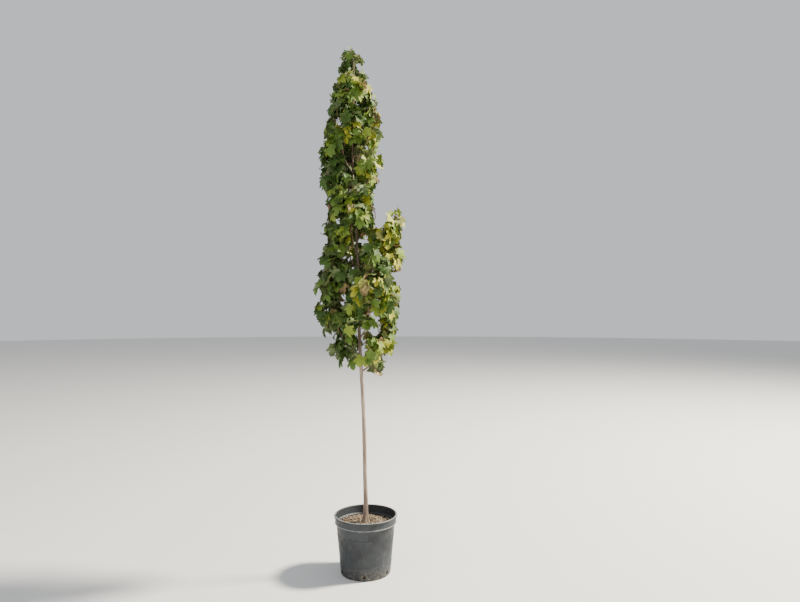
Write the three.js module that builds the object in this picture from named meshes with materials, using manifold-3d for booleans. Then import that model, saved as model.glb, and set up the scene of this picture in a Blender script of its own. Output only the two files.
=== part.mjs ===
// A young maple in its black nursery pot, in millimetres, with +Z up.
// The origin is the middle of the pot's flat underside, and -Y is the side seen in the photograph.
// The pot holds the root ball. The trunk stands on it and runs up through the whole of a narrow crown,
// short boughs leave the trunk in a spiral, and each ends in its own mass of leafy twigs.
import * as THREE from "three";
import { mergeVertices } from "three/addons/utils/BufferGeometryUtils.js";
import Module from "manifold-3d";

const wasm = await Module();
wasm.setup();

// Fitting gap between two solids that meet.
const GAP = 0.3;

// Nursery pot: a tapered wall with a wider band and a rolled lip above a ledge.
const POT_HEIGHT = 400;
const POT_LIP_RADIUS = 222;
const POT_BAND_RADIUS = 217;
const POT_BASE_RADIUS = 174;
const POT_WALL_TOP_RADIUS = 205;
const POT_BAND_HEIGHT = 60;
const POT_LEDGE_DROP = 4;
const POT_LIP_HEIGHT = 13;
const POT_LIP_CURL = 3;
const POT_FOOT_CURVE = 6;
const POT_BAND_TAPER = 4;
const POT_WALL = 4;
const POT_FLOOR = 5;
const POT_SIDES = 32;
const DRAIN_HOLES = 6;
const DRAIN_RADIUS = 11;
const DRAIN_HEIGHT = 30;
const DRAIN_SIDES = 8;

// Root ball: it fills the pot to just under the ledge, and its top is a low, lumpy dome.
const SOIL_TOP = 344;
const SOIL_EDGE = 331;
const SOIL_LUMP = 3;
const SOIL_LUMP_SPACING = 19;
const SOIL_CLEAR_OF_WALL = 1.3;
const TRUNK_SEAT_RADIUS = 46;

// Trunk: flat cut on the root ball, root flare, then an even taper to where the leader's leaves start.
const TREE_TOP = 3750;
const TRUNK_END = 3430;
const TRUNK_CALIPER = 30;
const CALIPER_HEIGHT = 150;
const TRUNK_TAPER = 0.62;
const FLARE_RADIUS = 11;
const FLARE_HEIGHT = 45;
const TRUNK_LEAN = 0.04;
const TRUNK_SWAY = 7;
const TRUNK_SWAY_LENGTH = 1150;
const TRUNK_SIDES = 10;
const TRUNK_RINGS = 16;
const RING_CROWDING = 1.8;

// Boughs: a spiral of short limbs that leave the trunk at a wide angle and turn up beside it.
const BOUGHS = 16;
const LOWEST_BOUGH = 1395;
const HIGHEST_BOUGH = 3130;
const FIRST_AZIMUTH = 0.35;
const SPIRAL_TURN = THREE.MathUtils.degToRad(137.5);
const BOUGH_STAND_OFF = 0.42;
// The stem of a mass leans out so that its top stands at this share of the crown's reach there.
const TOP_SHARE = 0.56;
const TOP_SPREAD = 0.08;
// One bough on the right carries its leaves clear of the rest.
const SPREADING_BOUGH = 5;
const SPREADING_TOP_SHARE = 0.72;
const BOUGH_RISE_LOW = 0.95;
const BOUGH_RISE_HIGH = 1.35;
const BOUGH_SHARE_OF_TRUNK = 0.5;
const BOUGH_LEAST_RADIUS = 4;
const BOUGH_TIP_SHARE = 0.85;
const BOUGH_SIDES = 5;
const BOUGH_STEPS = 4;

// Masses of foliage: one on each bough's tip, one round the leader, and sprigs straight on the trunk.
const FOLIAGE_LENGTH_LOW = 470;
const FOLIAGE_LENGTH_HIGH = 300;
const SPRIGS = 8;
const LOWEST_SPRIG = 1475;
const HIGHEST_SPRIG = 3080;
const SPRIG_LENGTH = 150;
const SPRIG_SIDES_TRIED = 16;
const LEADER_LENGTH = 285;
const STEM_SIDES = 5;
const STEM_STEPS = 4;
const STEM_TIP_RADIUS = 3.2;
const STEM_WANDER = 0.1;
const TWIG_SHARE_OF_STEM = 0.78;
const TWIG_TIP_SHARE = 0.75;

// Where pairs of twigs and single leaves stand, as shares of the length of the stem or twig below them.
const ON_BOUGH = {
  seed: 501,
  twigs: [0.16, 0.46, 0.74],
  twigLength: 95,
  leaves: [0.96, 0.08, 0.24, 0.32, 0.43, 0.54, 0.62, 0.73, 0.84],
};
const ON_SPRIG = { seed: 601, twigs: [0.55], twigLength: 60, leaves: [0.96, 0.35, 0.7, 0.82] };
const ON_LEADER = {
  seed: 701,
  twigs: [0.1, 0.35, 0.6],
  twigLength: 80,
  leaves: [0.96, 0.03, 0.2, 0.26, 0.45, 0.52, 0.75, 0.84],
};
const ON_TWIG = [0.84, 0.68, 0.5, 0.32];

// Leaves: a blade with three lobes, each leaf standing for three or four real ones.
// A leaf leaves its twig sideways, leans forward and away from the trunk, and droops.
const LEAF_LENGTH = 150;
const LEAF_SMALLEST = 0.82;
const TOP_LEAF_SHARE = 0.68;
const SMALL_LEAVES_FROM = 3250;
const LEAF_FORWARD = 0.35;
const LEAF_AWAY = 0.5;
const LEAF_DROOP = 0.2;
const MORE_DROOP = 0.8;
const LEAF_TURN = 2.4;

// A twig or leaf that doesn't fit is turned and shortened little by little, this many times at most.
const TRIES = 60;
const SHORTEST_LEAF = 0.75;
const SHORTEST_TWIG = 0.55;

// How far the leaves reach from the trunk at each height, towards -X and towards +X.
const CROWN_OUTLINE = [
  [1180, 60, 60],
  [1330, 200, 190],
  [1450, 270, 245],
  [1600, 325, 300],
  [1860, 350, 355],
  [2200, 325, 380],
  [2480, 285, 385],
  [2600, 270, 365],
  [2700, 265, 245],
  [2880, 270, 240],
  [3100, 250, 245],
  [3330, 205, 215],
  [3620, 145, 155],
  [3750, 70, 75],
];
// Each mass of leaves keeps within a share of that reach, from this up to all of it.
const LEAST_FILL = 0.9;

// Clear distances that keep a leaf or twig in its own mass's space.
const SPACE_MARGIN = 9;
const LIMB_MARGIN = 6;
const ROOT_REACH = 9;

const UP = new THREE.Vector3(0, 0, 1);

// A seeded row of even numbers from 0 to 1.
function dice(seed) {
  let state = (seed * 2654435761) % 4294967296;
  return () => {
    state = (state * 1664525 + 1013904223) % 4294967296;
    return state / 4294967296;
  };
}

const spread = (roll, width) => (roll() * 2 - 1) * width;
const mix = THREE.MathUtils.lerp;

// Reads one column of a table whose rows start with a place, with straight lines between the rows.
function along(table, place, column) {
  const next = table.findIndex(([at]) => at > place);
  if (next === 0) return table[0][column];
  if (next < 0) return table[table.length - 1][column];
  const [below, above] = [table[next - 1], table[next]];
  return mix(below[column], above[column], (place - below[0]) / (above[0] - below[0]));
}

function crownReach(height, azimuth) {
  const left = along(CROWN_OUTLINE, height, 1);
  const right = along(CROWN_OUTLINE, height, 2);
  return mix(left, right, (1 + Math.cos(azimuth)) / 2);
}

// The middle of the trunk at a height: it rises straight from the pot, then leans and sways a little.
function trunkMiddle(height) {
  const rise = Math.max(0, height - SOIL_TOP - CALIPER_HEIGHT);
  const sway = TRUNK_SWAY * (1 - Math.cos((2 * Math.PI * rise) / TRUNK_SWAY_LENGTH));
  return new THREE.Vector3(-TRUNK_LEAN * rise + sway / 2, sway, height);
}

function trunkRadius(height) {
  const rise = height - SOIL_TOP;
  const share = (TREE_TOP - height) / (TREE_TOP - SOIL_TOP - CALIPER_HEIGHT);
  const flare = FLARE_RADIUS * Math.exp(-rise / FLARE_HEIGHT);
  return (TRUNK_CALIPER / 2) * share ** TRUNK_TAPER + flare;
}

// Closed meshes as solids that can be joined and cut, and back.
function solid(geometry) {
  const bare = geometry.clone();
  bare.deleteAttribute("normal");
  bare.deleteAttribute("uv");
  const merged = mergeVertices(bare, 1e-4);
  return new wasm.Manifold(
    new wasm.Mesh({
      numProp: 3,
      vertProperties: merged.attributes.position.array,
      triVerts: new Uint32Array(merged.index.array),
    }),
  );
}

function geometryOf(made) {
  const { numProp, numVert, vertProperties, triVerts } = made.getMesh();
  const corners = new Float32Array(numVert * 3);
  for (let i = 0; i < numVert; i++) {
    corners.set(vertProperties.subarray(i * numProp, i * numProp + 3), i * 3);
  }
  const geometry = new THREE.BufferGeometry();
  geometry.setAttribute("position", new THREE.BufferAttribute(corners, 3));
  geometry.setIndex(new THREE.BufferAttribute(new Uint32Array(triVerts), 1));
  geometry.computeVertexNormals();
  return geometry;
}

// The direction of a path at each of its points.
function tangents(path) {
  return path.map((point, i) => {
    const from = path[Math.max(0, i - 1)];
    const to = path[Math.min(path.length - 1, i + 1)];
    return to.clone().sub(from).normalize();
  });
}

// Any direction square to the one given.
function squareTo(direction) {
  const helper = Math.abs(direction.z) < 0.9 ? UP : new THREE.Vector3(1, 0, 0);
  return helper.clone().addScaledVector(direction, -helper.dot(direction)).normalize();
}

// A tapered limb: a cylinder whose rings are moved onto the points of a path.
function limb(path, radii, sides) {
  const steps = path.length - 1;
  const geometry = new THREE.CylinderGeometry(1, 1, 1, sides, steps);
  const ahead = tangents(path);
  const across = [squareTo(ahead[0])];
  for (let i = 1; i <= steps; i++) {
    const turned = across[i - 1].clone().addScaledVector(ahead[i], -across[i - 1].dot(ahead[i]));
    across.push(turned.normalize());
  }
  const corners = geometry.attributes.position;
  const corner = new THREE.Vector3();
  for (let i = 0; i < corners.count; i++) {
    corner.fromBufferAttribute(corners, i);
    const step = Math.round((corner.y + 0.5) * steps);
    const beside = across[step].clone().cross(ahead[step]);
    const { x, z } = corner;
    corner.copy(path[step]);
    corner.addScaledVector(across[step], x * radii[step]);
    corner.addScaledVector(beside, z * radii[step]);
    corners.setXYZ(i, corner.x, corner.y, corner.z);
  }
  return geometry;
}

// A slender three-sided twig that tapers to a point.
function makeTwig(from, to, radius) {
  const direction = to.clone().sub(from).normalize();
  const across = squareTo(direction);
  const foot = [0, 1, 2].map((i) => {
    const arm = across.clone().applyAxisAngle(direction, (i * 2 * Math.PI) / 3);
    return from.clone().addScaledVector(arm, radius);
  });
  const geometry = new THREE.BufferGeometry().setFromPoints([...foot, to]);
  geometry.setIndex([0, 1, 3, 1, 2, 3, 2, 0, 3, 0, 2, 1]);
  return geometry;
}

// A solid of revolution about Z from rows of [radius, height].
function turned(profile, sides) {
  const points = profile.map(([radius, height]) => new THREE.Vector2(radius, height));
  return new THREE.LatheGeometry(points, sides).rotateX(Math.PI / 2);
}

function potWallRadius(height) {
  const ledge = POT_HEIGHT - POT_BAND_HEIGHT;
  return mix(POT_BASE_RADIUS, POT_WALL_TOP_RADIUS, height / ledge);
}

function makePot() {
  const ledge = POT_HEIGHT - POT_BAND_HEIGHT;
  const lipUnderside = POT_HEIGHT - POT_LIP_HEIGHT;
  const lipInside = POT_LIP_RADIUS - 3 * POT_WALL;
  const bandFoot = POT_BAND_RADIUS - POT_BAND_TAPER;
  const profile = [
    [0, 0],
    [POT_BASE_RADIUS - POT_FOOT_CURVE, 0],
    [potWallRadius(POT_FOOT_CURVE), POT_FOOT_CURVE],
    [POT_WALL_TOP_RADIUS, ledge],
    [bandFoot, ledge + POT_LEDGE_DROP],
    [POT_BAND_RADIUS, lipUnderside],
    [POT_LIP_RADIUS, lipUnderside + POT_LIP_CURL],
    [POT_LIP_RADIUS, POT_HEIGHT - POT_LIP_CURL],
    [POT_LIP_RADIUS - POT_LIP_CURL, POT_HEIGHT],
    [lipInside, POT_HEIGHT],
    [POT_BAND_RADIUS - 2 * POT_WALL, lipUnderside - POT_LIP_CURL],
    [bandFoot - POT_WALL, ledge + POT_LEDGE_DROP + POT_WALL / 2],
    [POT_WALL_TOP_RADIUS - POT_WALL, ledge - POT_WALL / 2],
    [POT_BASE_RADIUS - POT_WALL, POT_FLOOR],
    [0, POT_FLOOR],
  ];
  let pot = solid(turned(profile, POT_SIDES));
  for (let i = 0; i < DRAIN_HOLES; i++) {
    const azimuth = ((i + 0.5) * 2 * Math.PI) / DRAIN_HOLES;
    const drill = new THREE.CylinderGeometry(DRAIN_RADIUS, DRAIN_RADIUS, 6 * POT_WALL, DRAIN_SIDES);
    drill.rotateZ(Math.PI / 2);
    drill.translate(potWallRadius(DRAIN_HEIGHT) - POT_WALL / 2, 0, DRAIN_HEIGHT);
    drill.rotateZ(azimuth);
    pot = pot.subtract(solid(drill));
  }
  return geometryOf(pot);
}

function makeRootBall() {
  const inside = (height) => potWallRadius(height) - POT_WALL - SOIL_CLEAR_OF_WALL;
  const edge = inside(SOIL_EDGE);
  const profile = [
    [0, POT_FLOOR + GAP],
    [inside(POT_FLOOR), POT_FLOOR + GAP],
    [edge, SOIL_EDGE],
    [edge * 0.86, mix(SOIL_EDGE, SOIL_TOP, 0.55)],
    [edge * 0.64, SOIL_TOP - 2],
    [edge * 0.42, SOIL_TOP - 1],
    [TRUNK_SEAT_RADIUS, SOIL_TOP],
    [0, SOIL_TOP],
  ];
  const geometry = turned(profile, POT_SIDES);
  const corners = geometry.attributes.position;
  for (let i = 0; i < corners.count; i++) {
    const [x, y, z] = [corners.getX(i), corners.getY(i), corners.getZ(i)];
    const radius = Math.hypot(x, y);
    const loose = z > SOIL_EDGE + 1 && radius > TRUNK_SEAT_RADIUS + 5;
    const lump = SOIL_LUMP * Math.sin(x / SOIL_LUMP_SPACING + 1) * Math.cos(y / SOIL_LUMP_SPACING);
    if (loose) corners.setZ(i, z + lump);
  }
  return geometryOf(solid(geometry));
}

// Path and radii of the trunk, its rings closer together at the root flare. extra widens it.
function trunkParts(extra) {
  const foot = SOIL_TOP + GAP;
  const path = [];
  const radii = [];
  for (let i = 0; i <= TRUNK_RINGS; i++) {
    const height = mix(foot, TRUNK_END, (i / TRUNK_RINGS) ** RING_CROWDING);
    path.push(trunkMiddle(height));
    radii.push(trunkRadius(height) + extra);
  }
  return { path, radii };
}

// A smooth arc from one point to another that leaves in one direction and arrives in another.
function arc(start, middle, end, steps) {
  return new THREE.QuadraticBezierCurve3(start, middle, end).getPoints(steps);
}

// Where a bough leaves the trunk, how it runs, and the foliage stem that goes on from its tip.
function planBough(index) {
  const roll = dice(101 + index);
  const share = index / (BOUGHS - 1);
  const height = mix(LOWEST_BOUGH, HIGHEST_BOUGH, share) + spread(roll, 22);
  const azimuth = FIRST_AZIMUTH + index * SPIRAL_TURN + spread(roll, 0.16);
  const outward = new THREE.Vector3(Math.cos(azimuth), Math.sin(azimuth), 0);
  const foot = trunkMiddle(height);
  const length = mix(FOLIAGE_LENGTH_LOW, FOLIAGE_LENGTH_HIGH, share) * (1 + spread(roll, 0.1));
  const standOff = crownReach(height + length / 2, azimuth) * BOUGH_STAND_OFF;
  const rise = mix(BOUGH_RISE_LOW, BOUGH_RISE_HIGH, share) * standOff;
  const elbow = foot.clone().addScaledVector(outward, standOff * 0.8).addScaledVector(UP, rise * 0.42);
  const tip = foot.clone().addScaledVector(outward, standOff).addScaledVector(UP, rise);
  const path = arc(foot, elbow, tip, BOUGH_STEPS);
  const thick = Math.max(BOUGH_LEAST_RADIUS, trunkRadius(height) * BOUGH_SHARE_OF_TRUNK);
  const radii = path.map((_, i) => thick * mix(1, BOUGH_TIP_SHARE, i / BOUGH_STEPS));
  const heading = tangents(path)[BOUGH_STEPS];
  const topShare = (index === SPREADING_BOUGH ? SPREADING_TOP_SHARE : TOP_SHARE) + spread(roll, TOP_SPREAD);
  const leaning = (crownReach(tip.z + length, azimuth) * topShare - standOff) / length;
  const lean = outward.clone().multiplyScalar(leaning).add(UP).normalize();
  const stem = stemPath(tip.clone().addScaledVector(heading, GAP), heading, lean, length, roll);
  return { foot, azimuth, path, radii, stem, thick: thick * BOUGH_TIP_SHARE };
}

// A foliage stem: it starts along one heading and swings round to another, with a slight wander.
function stemPath(start, heading, lean, length, roll) {
  const path = [start];
  for (let i = 1; i <= STEM_STEPS; i++) {
    const turn = Math.min(1, (i - 1) / (STEM_STEPS - 2));
    const step = heading.clone().lerp(lean, turn);
    const wander = i > 1 ? STEM_WANDER : 0;
    step.add(new THREE.Vector3(spread(roll, wander), spread(roll, wander), 0));
    path.push(path[i - 1].clone().addScaledVector(step.normalize(), length / STEM_STEPS));
  }
  return path;
}

// A sprig stands straight on the trunk, on the side that the boughs leave most open.
function planSprig(index) {
  const roll = dice(301 + index);
  const share = index / (SPRIGS - 1);
  const height = mix(LOWEST_SPRIG, HIGHEST_SPRIG, share) + spread(roll, 12);
  const foot = trunkMiddle(height);
  const length = SPRIG_LENGTH * mix(1.1, 0.8, share);
  let best = { room: 0 };
  for (let i = 0; i < SPRIG_SIDES_TRIED; i++) {
    const azimuth = ((i + roll() * 0.5) * 2 * Math.PI) / SPRIG_SIDES_TRIED;
    const outward = new THREE.Vector3(Math.cos(azimuth), Math.sin(azimuth), 0);
    const middle = foot.clone().addScaledVector(outward, length * 0.75).addScaledVector(UP, 50);
    const rooms = boughs.map((bough) => {
      return Math.min(distanceToPath(middle, bough.path), distanceToPath(middle, bough.stem));
    });
    const room = Math.min(...rooms);
    if (room > best.room) best = { room, azimuth, outward };
  }
  const heading = best.outward.clone().addScaledVector(UP, 0.35).normalize();
  const lean = best.outward.clone().addScaledVector(UP, 0.8).normalize();
  const stem = stemPath(foot, heading, lean, length, roll);
  return { foot, azimuth: best.azimuth, stem, thick: STEM_TIP_RADIUS * 1.3 };
}

function planLeader() {
  const foot = trunkMiddle(TRUNK_END);
  const { path } = trunkParts(0);
  const heading = tangents(path)[TRUNK_RINGS];
  const start = foot.clone().addScaledVector(heading, GAP);
  const stem = stemPath(start, heading, UP, LEADER_LENGTH, dice(401));
  return { foot, azimuth: 0, stem, thick: trunkRadius(TRUNK_END) };
}

// Distance from a point to a straight stretch.
function distanceTo(point, from, to) {
  const [dx, dy, dz] = [to.x - from.x, to.y - from.y, to.z - from.z];
  const [px, py, pz] = [point.x - from.x, point.y - from.y, point.z - from.z];
  const share = (px * dx + py * dy + pz * dz) / (dx * dx + dy * dy + dz * dz);
  const held = Math.min(1, Math.max(0, share));
  return Math.hypot(px - held * dx, py - held * dy, pz - held * dz);
}

function distanceToPath(point, path) {
  let least = Infinity;
  for (let i = 1; i < path.length; i++) {
    least = Math.min(least, distanceTo(point, path[i - 1], path[i]));
  }
  return least;
}

// The leaf in its own frame: root at 0, tip along +X, upper face towards +Z.
// Its outline runs from the root by the side lobes and the notches to the tip.
const SIDE_LOBE = [0.46, 0.44];
const NOTCH = [0.6, 0.2];
const BLADE_MIDDLE = 0.23;
const BLADE_THICK = 0.032;
const LOBE_DROOP = 0.03;
const ROOT_SUNK = 3.6;

function leafCorners(length) {
  const corner = ([x, y], sign, z = 0) => new THREE.Vector3(x * length, sign * y * length, z);
  const droop = -LOBE_DROOP * length;
  return [
    new THREE.Vector3(0, 0, 0),
    corner(SIDE_LOBE, 1, droop),
    corner(NOTCH, 1),
    new THREE.Vector3(length, 0, droop),
    corner(NOTCH, -1),
    corner(SIDE_LOBE, -1, droop),
    new THREE.Vector3(BLADE_MIDDLE * length, 0, BLADE_THICK * length),
  ];
}

// Upper faces fan out from the thick middle of the blade, and lower faces span it.
const MIDDLE = 6;
const UPPER_FACES = [0, 1, 2, 3, 4, 5].map((i) => [MIDDLE, (i + 1) % 6, i]);
const LOWER_FACES = [
  [0, 1, 5],
  [1, 2, 4],
  [1, 4, 5],
  [2, 3, 4],
];
const LEAF_FACES = [...UPPER_FACES, ...LOWER_FACES].flat();

// A leaf's place: its frame has X along the leaf and Z out of its upper face.
function leafFrame(root, direction, facing, twist) {
  const normal = facing.clone().addScaledVector(direction, -facing.dot(direction)).normalize();
  normal.applyAxisAngle(direction, twist);
  const left = normal.clone().cross(direction);
  return new THREE.Matrix4().makeBasis(direction, left, normal).setPosition(root);
}

function leafGeometry(corners) {
  const geometry = new THREE.BufferGeometry().setFromPoints(corners);
  geometry.setIndex(LEAF_FACES);
  return geometry;
}

// Points spread over a leaf's blade, for finding out whose space it is in.
const SPREAD_STEPS = 3;

function bladePoints(corners) {
  const points = [];
  for (const [a, b, c] of UPPER_FACES) {
    for (let i = 0; i <= SPREAD_STEPS; i++) {
      for (let j = 0; j <= SPREAD_STEPS - i; j++) {
        const [u, v] = [i / SPREAD_STEPS, j / SPREAD_STEPS];
        const point = corners[a].clone().multiplyScalar(1 - u - v);
        points.push(point.addScaledVector(corners[b], u).addScaledVector(corners[c], v));
      }
    }
  }
  return points;
}

const boughs = Array.from({ length: BOUGHS }, (_, i) => planBough(i));
const sprigs = Array.from({ length: SPRIGS }, (_, i) => planSprig(i));
const leader = planLeader();
const masses = [...boughs, ...sprigs, leader];
const trunk = trunkParts(0);

// True where a point is nearer to this mass's stem than to any other's, inside the crown's outline.
function inOwnSpace(mass, point) {
  const middle = trunkMiddle(point.z);
  const reach = crownReach(point.z, Math.atan2(point.y - middle.y, point.x - middle.x));
  const far = Math.hypot(point.x - middle.x, point.y - middle.y);
  if (point.z > TREE_TOP || far > reach * mass.fill) return false;
  const own = distanceToPath(point, mass.stem) + SPACE_MARGIN;
  return mass.neighbours.every((other) => distanceToPath(point, other.stem) > own);
}

const fillRoll = dice(801);
for (const mass of masses) {
  mass.fill = mix(LEAST_FILL, 1, fillRoll());
  const near = (other) => mass.stem[2].distanceTo(other.stem[2]) < FOLIAGE_LENGTH_LOW * 1.9;
  mass.neighbours = masses.filter((other) => other !== mass && near(other));
}

// The trunk and boughs with a clear margin all round, which no leaf or twig may enter.
const widened = trunkParts(LIMB_MARGIN);
const limbSpace = boughs
  .map((bough) => bough.radii.map((radius) => radius + LIMB_MARGIN))
  .map((radii, i) => solid(limb(boughs[i].path, radii, BOUGH_SIDES)))
  .reduce((whole, piece) => whole.add(piece), solid(limb(widened.path, widened.radii, TRUNK_SIDES)));

// True where two solids meet nowhere, or only this near to a point.
function meetOnlyNear(first, second, point, reach) {
  const { numProp, vertProperties } = first.intersect(second).getMesh();
  for (let i = 0; i < vertProperties.length; i += numProp) {
    const [x, y, z] = vertProperties.subarray(i, i + 3);
    if (Math.hypot(x - point.x, y - point.y, z - point.z) > reach) return false;
  }
  return true;
}

// Adds a twig or leaf to its mass if it stays in the mass's space and touches only where it is rooted.
function fuse(mass, geometry, marks, root, reach) {
  if (!marks.every((mark) => inOwnSpace(mass, mark))) return false;
  const piece = solid(geometry);
  if (!meetOnlyNear(limbSpace, piece, root, 0)) return false;
  if (!meetOnlyNear(mass.whole, piece, root, reach)) return false;
  mass.whole = mass.whole.add(piece);
  return true;
}

// The place and heading at a share of a shoot's length.
function shootPoint(path, share) {
  const place = share * (path.length - 1);
  const step = Math.min(path.length - 2, Math.floor(place));
  const point = path[step].clone().lerp(path[step + 1], place - step);
  const heading = path[step + 1].clone().sub(path[step]).normalize();
  return { point, heading };
}

// One leaf on a shoot, turned until it fits its space, or none if it never does.
function growLeaf(mass, { path, rootShift }, share, turn, roll) {
  const { point, heading } = shootPoint(path, share);
  const away = point.clone().sub(trunkMiddle(point.z)).setZ(0).normalize();
  const facing = away.clone().addScaledVector(UP, 0.8);
  const high = Math.max(0, (point.z - SMALL_LEAVES_FROM) / (TREE_TOP - SMALL_LEAVES_FROM));
  const fullLength = LEAF_LENGTH * mix(LEAF_SMALLEST, 1, roll()) * mix(1, TOP_LEAF_SHARE, high);
  const forward = share > 0.9 ? 1 : LEAF_FORWARD;
  for (let tries = 0; tries < TRIES; tries++) {
    const loose = tries / TRIES;
    const direction = squareTo(heading);
    direction.applyAxisAngle(heading, turn + spread(roll, 0.3 + 2.8 * loose));
    direction.addScaledVector(heading, forward).addScaledVector(away, LEAF_AWAY);
    direction.addScaledVector(UP, -LEAF_DROOP - MORE_DROOP * roll()).normalize();
    const root = point.clone().addScaledVector(direction, rootShift(share));
    const frame = leafFrame(root, direction, facing, spread(roll, 0.3 + 1.2 * loose));
    const length = fullLength * mix(1, SHORTEST_LEAF, loose);
    const corners = leafCorners(length).map((corner) => corner.applyMatrix4(frame));
    if (fuse(mass, leafGeometry(corners), bladePoints(corners), root, ROOT_REACH)) return;
  }
}

// A side twig that leaves a stem, or none if it would leave its mass's space.
function growTwig(mass, share, turn, length, radius, roll) {
  const { point, heading } = shootPoint(mass.stem, share);
  const away = point.clone().sub(trunkMiddle(point.z)).setZ(0).normalize();
  for (let tries = 0; tries < TRIES; tries++) {
    const loose = tries / TRIES;
    const direction = squareTo(heading);
    direction.applyAxisAngle(heading, turn + spread(roll, 0.2 + 1.2 * loose));
    direction.addScaledVector(away, 0.4).addScaledVector(heading, 0.7).normalize();
    const end = point.clone().addScaledVector(direction, length * mix(1, SHORTEST_TWIG, loose));
    const marks = [0.4, 0.7, 1].map((part) => point.clone().lerp(end, part));
    if (fuse(mass, makeTwig(point, end, radius), marks, point, 2 * ROOT_REACH)) {
      return { path: [point, end], rootShift: (place) => -0.4 * radius * (1 - place) };
    }
  }
  return null;
}

// A mass of foliage: its stem, side twigs, and leaves on both, all fused in one.
function growMass(mass, index, plan) {
  const roll = dice(plan.seed + index);
  const radiusAt = (share) => mix(mass.thick, STEM_TIP_RADIUS, share);
  const radii = mass.stem.map((_, i) => radiusAt(i / STEM_STEPS));
  mass.whole = solid(limb(mass.stem, radii, STEM_SIDES));
  const twigs = [];
  plan.twigs.forEach((share, i) => {
    for (const half of [0, Math.PI]) {
      const turn = mass.azimuth + half + (i * Math.PI) / 2;
      const radius = radiusAt(share) * TWIG_SHARE_OF_STEM;
      const length = plan.twigLength * mix(1, TWIG_TIP_SHARE, share);
      twigs.push(growTwig(mass, share, turn, length, radius, roll));
    }
  });
  const stem = { path: mass.stem, rootShift: (share) => Math.max(0, radiusAt(share) - ROOT_SUNK) };
  const leafOn = (shoot, shares) => {
    const turn = roll() * Math.PI;
    shares.forEach((share, i) => growLeaf(mass, shoot, share, turn + i * LEAF_TURN, roll));
  };
  twigs.filter((twig) => twig).forEach((twig) => leafOn(twig, ON_TWIG));
  leafOn(stem, plan.leaves);
  return mass.whole;
}

const BARK = new THREE.MeshStandardMaterial({ color: 0xb3a494, roughness: 0.8 });
const BOUGH_BARK = new THREE.MeshStandardMaterial({ color: 0x8a7a6b, roughness: 0.8 });
const POT_PLASTIC = new THREE.MeshStandardMaterial({ color: 0x2c2f33, roughness: 0.55 });
const POTTING_MIX = new THREE.MeshStandardMaterial({ color: 0x6b5a47, roughness: 1 });
const LEAF_GREEN = new THREE.MeshStandardMaterial({ color: 0x5c7a3a, roughness: 0.6 });

function part(name, geometry, material, foot) {
  const mesh = new THREE.Mesh(geometry.translate(-foot.x, -foot.y, -foot.z), material);
  mesh.name = name;
  return mesh;
}

const number = (index) => String(index + 1).padStart(2, "0");
const sapling = new THREE.Group();
sapling.name = "maple_sapling_in_pot";
const ground = new THREE.Vector3();
sapling.add(part("nursery_pot", makePot(), POT_PLASTIC, ground));
sapling.add(part("root_ball", makeRootBall(), POTTING_MIX, ground));

const trunkFoot = trunk.path[0];
const trunkSolid = solid(limb(trunk.path, trunk.radii, TRUNK_SIDES));
const wider = trunkParts(GAP);
const trunkClearance = solid(limb(wider.path, wider.radii, TRUNK_SIDES));
const tree = new THREE.Group();
tree.position.copy(trunkFoot);
tree.add(part("trunk", geometryOf(trunkSolid), BARK, trunkFoot));
sapling.add(tree);

// A group that stands where a bough, sprig or leader leaves the trunk.
function standingAt(foot) {
  const group = new THREE.Group();
  group.position.copy(foot).sub(trunkFoot);
  tree.add(group);
  return group;
}

boughs.forEach((bough, i) => {
  const group = standingAt(bough.foot);
  const wood = solid(limb(bough.path, bough.radii, BOUGH_SIDES)).subtract(trunkClearance);
  group.add(part("bough_" + number(i), geometryOf(wood), BOUGH_BARK, bough.foot));
  const leafy = growMass(bough, i, ON_BOUGH);
  group.add(part("foliage_" + number(i), geometryOf(leafy), LEAF_GREEN, bough.foot));
});

sprigs.forEach((sprig, i) => {
  const leafy = growMass(sprig, i, ON_SPRIG).subtract(trunkClearance);
  const group = standingAt(sprig.foot);
  group.add(part("sprig_" + number(i), geometryOf(leafy), LEAF_GREEN, sprig.foot));
});

const topLeaves = geometryOf(growMass(leader, 0, ON_LEADER));
standingAt(leader.foot).add(part("leader_foliage", topLeaves, LEAF_GREEN, leader.foot));

export default sapling;
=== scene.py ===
import math
import bpy
import numpy as np
from mathutils import Matrix, Vector, noise
from mathutils.geometry import delaunay_2d_cdt


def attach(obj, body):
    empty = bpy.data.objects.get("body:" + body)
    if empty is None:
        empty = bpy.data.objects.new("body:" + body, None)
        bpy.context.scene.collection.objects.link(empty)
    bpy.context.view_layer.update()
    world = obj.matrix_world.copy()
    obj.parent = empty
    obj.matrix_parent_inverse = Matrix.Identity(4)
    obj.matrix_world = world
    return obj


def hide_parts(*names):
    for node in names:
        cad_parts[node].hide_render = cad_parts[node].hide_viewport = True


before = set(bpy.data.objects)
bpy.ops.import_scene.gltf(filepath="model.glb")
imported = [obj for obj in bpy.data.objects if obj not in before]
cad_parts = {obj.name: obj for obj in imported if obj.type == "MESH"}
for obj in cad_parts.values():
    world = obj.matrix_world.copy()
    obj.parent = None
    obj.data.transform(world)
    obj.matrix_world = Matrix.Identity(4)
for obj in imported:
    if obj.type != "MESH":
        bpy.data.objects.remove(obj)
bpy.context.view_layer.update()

# The nursery pot. A grower's pot of about 15 gallons, blow moulded in black polyethylene, with a
# rolled lip, a low band under it, a tapered wall and six drain holes close to its foot.
POT_SIDES = 160
POT_FOOT_RADIUS = 0.174
POT_LEDGE_RADIUS = 0.205
POT_LEDGE = 0.34
POT_SLACK = 0.0011
POT_WAVE = 0.0004
LOW_RING = 0.085
HIGH_RING = 0.27
RING_STANDS_OUT = 0.0013
DRAIN_HOLES = 6
DRAIN_RADIUS = 0.011
DRAIN_HEIGHT = 0.03
DRAIN_FROM_MIDDLE = 0.175
DRILL_LENGTH = 0.03
DRILL_SIDES = 28


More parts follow.
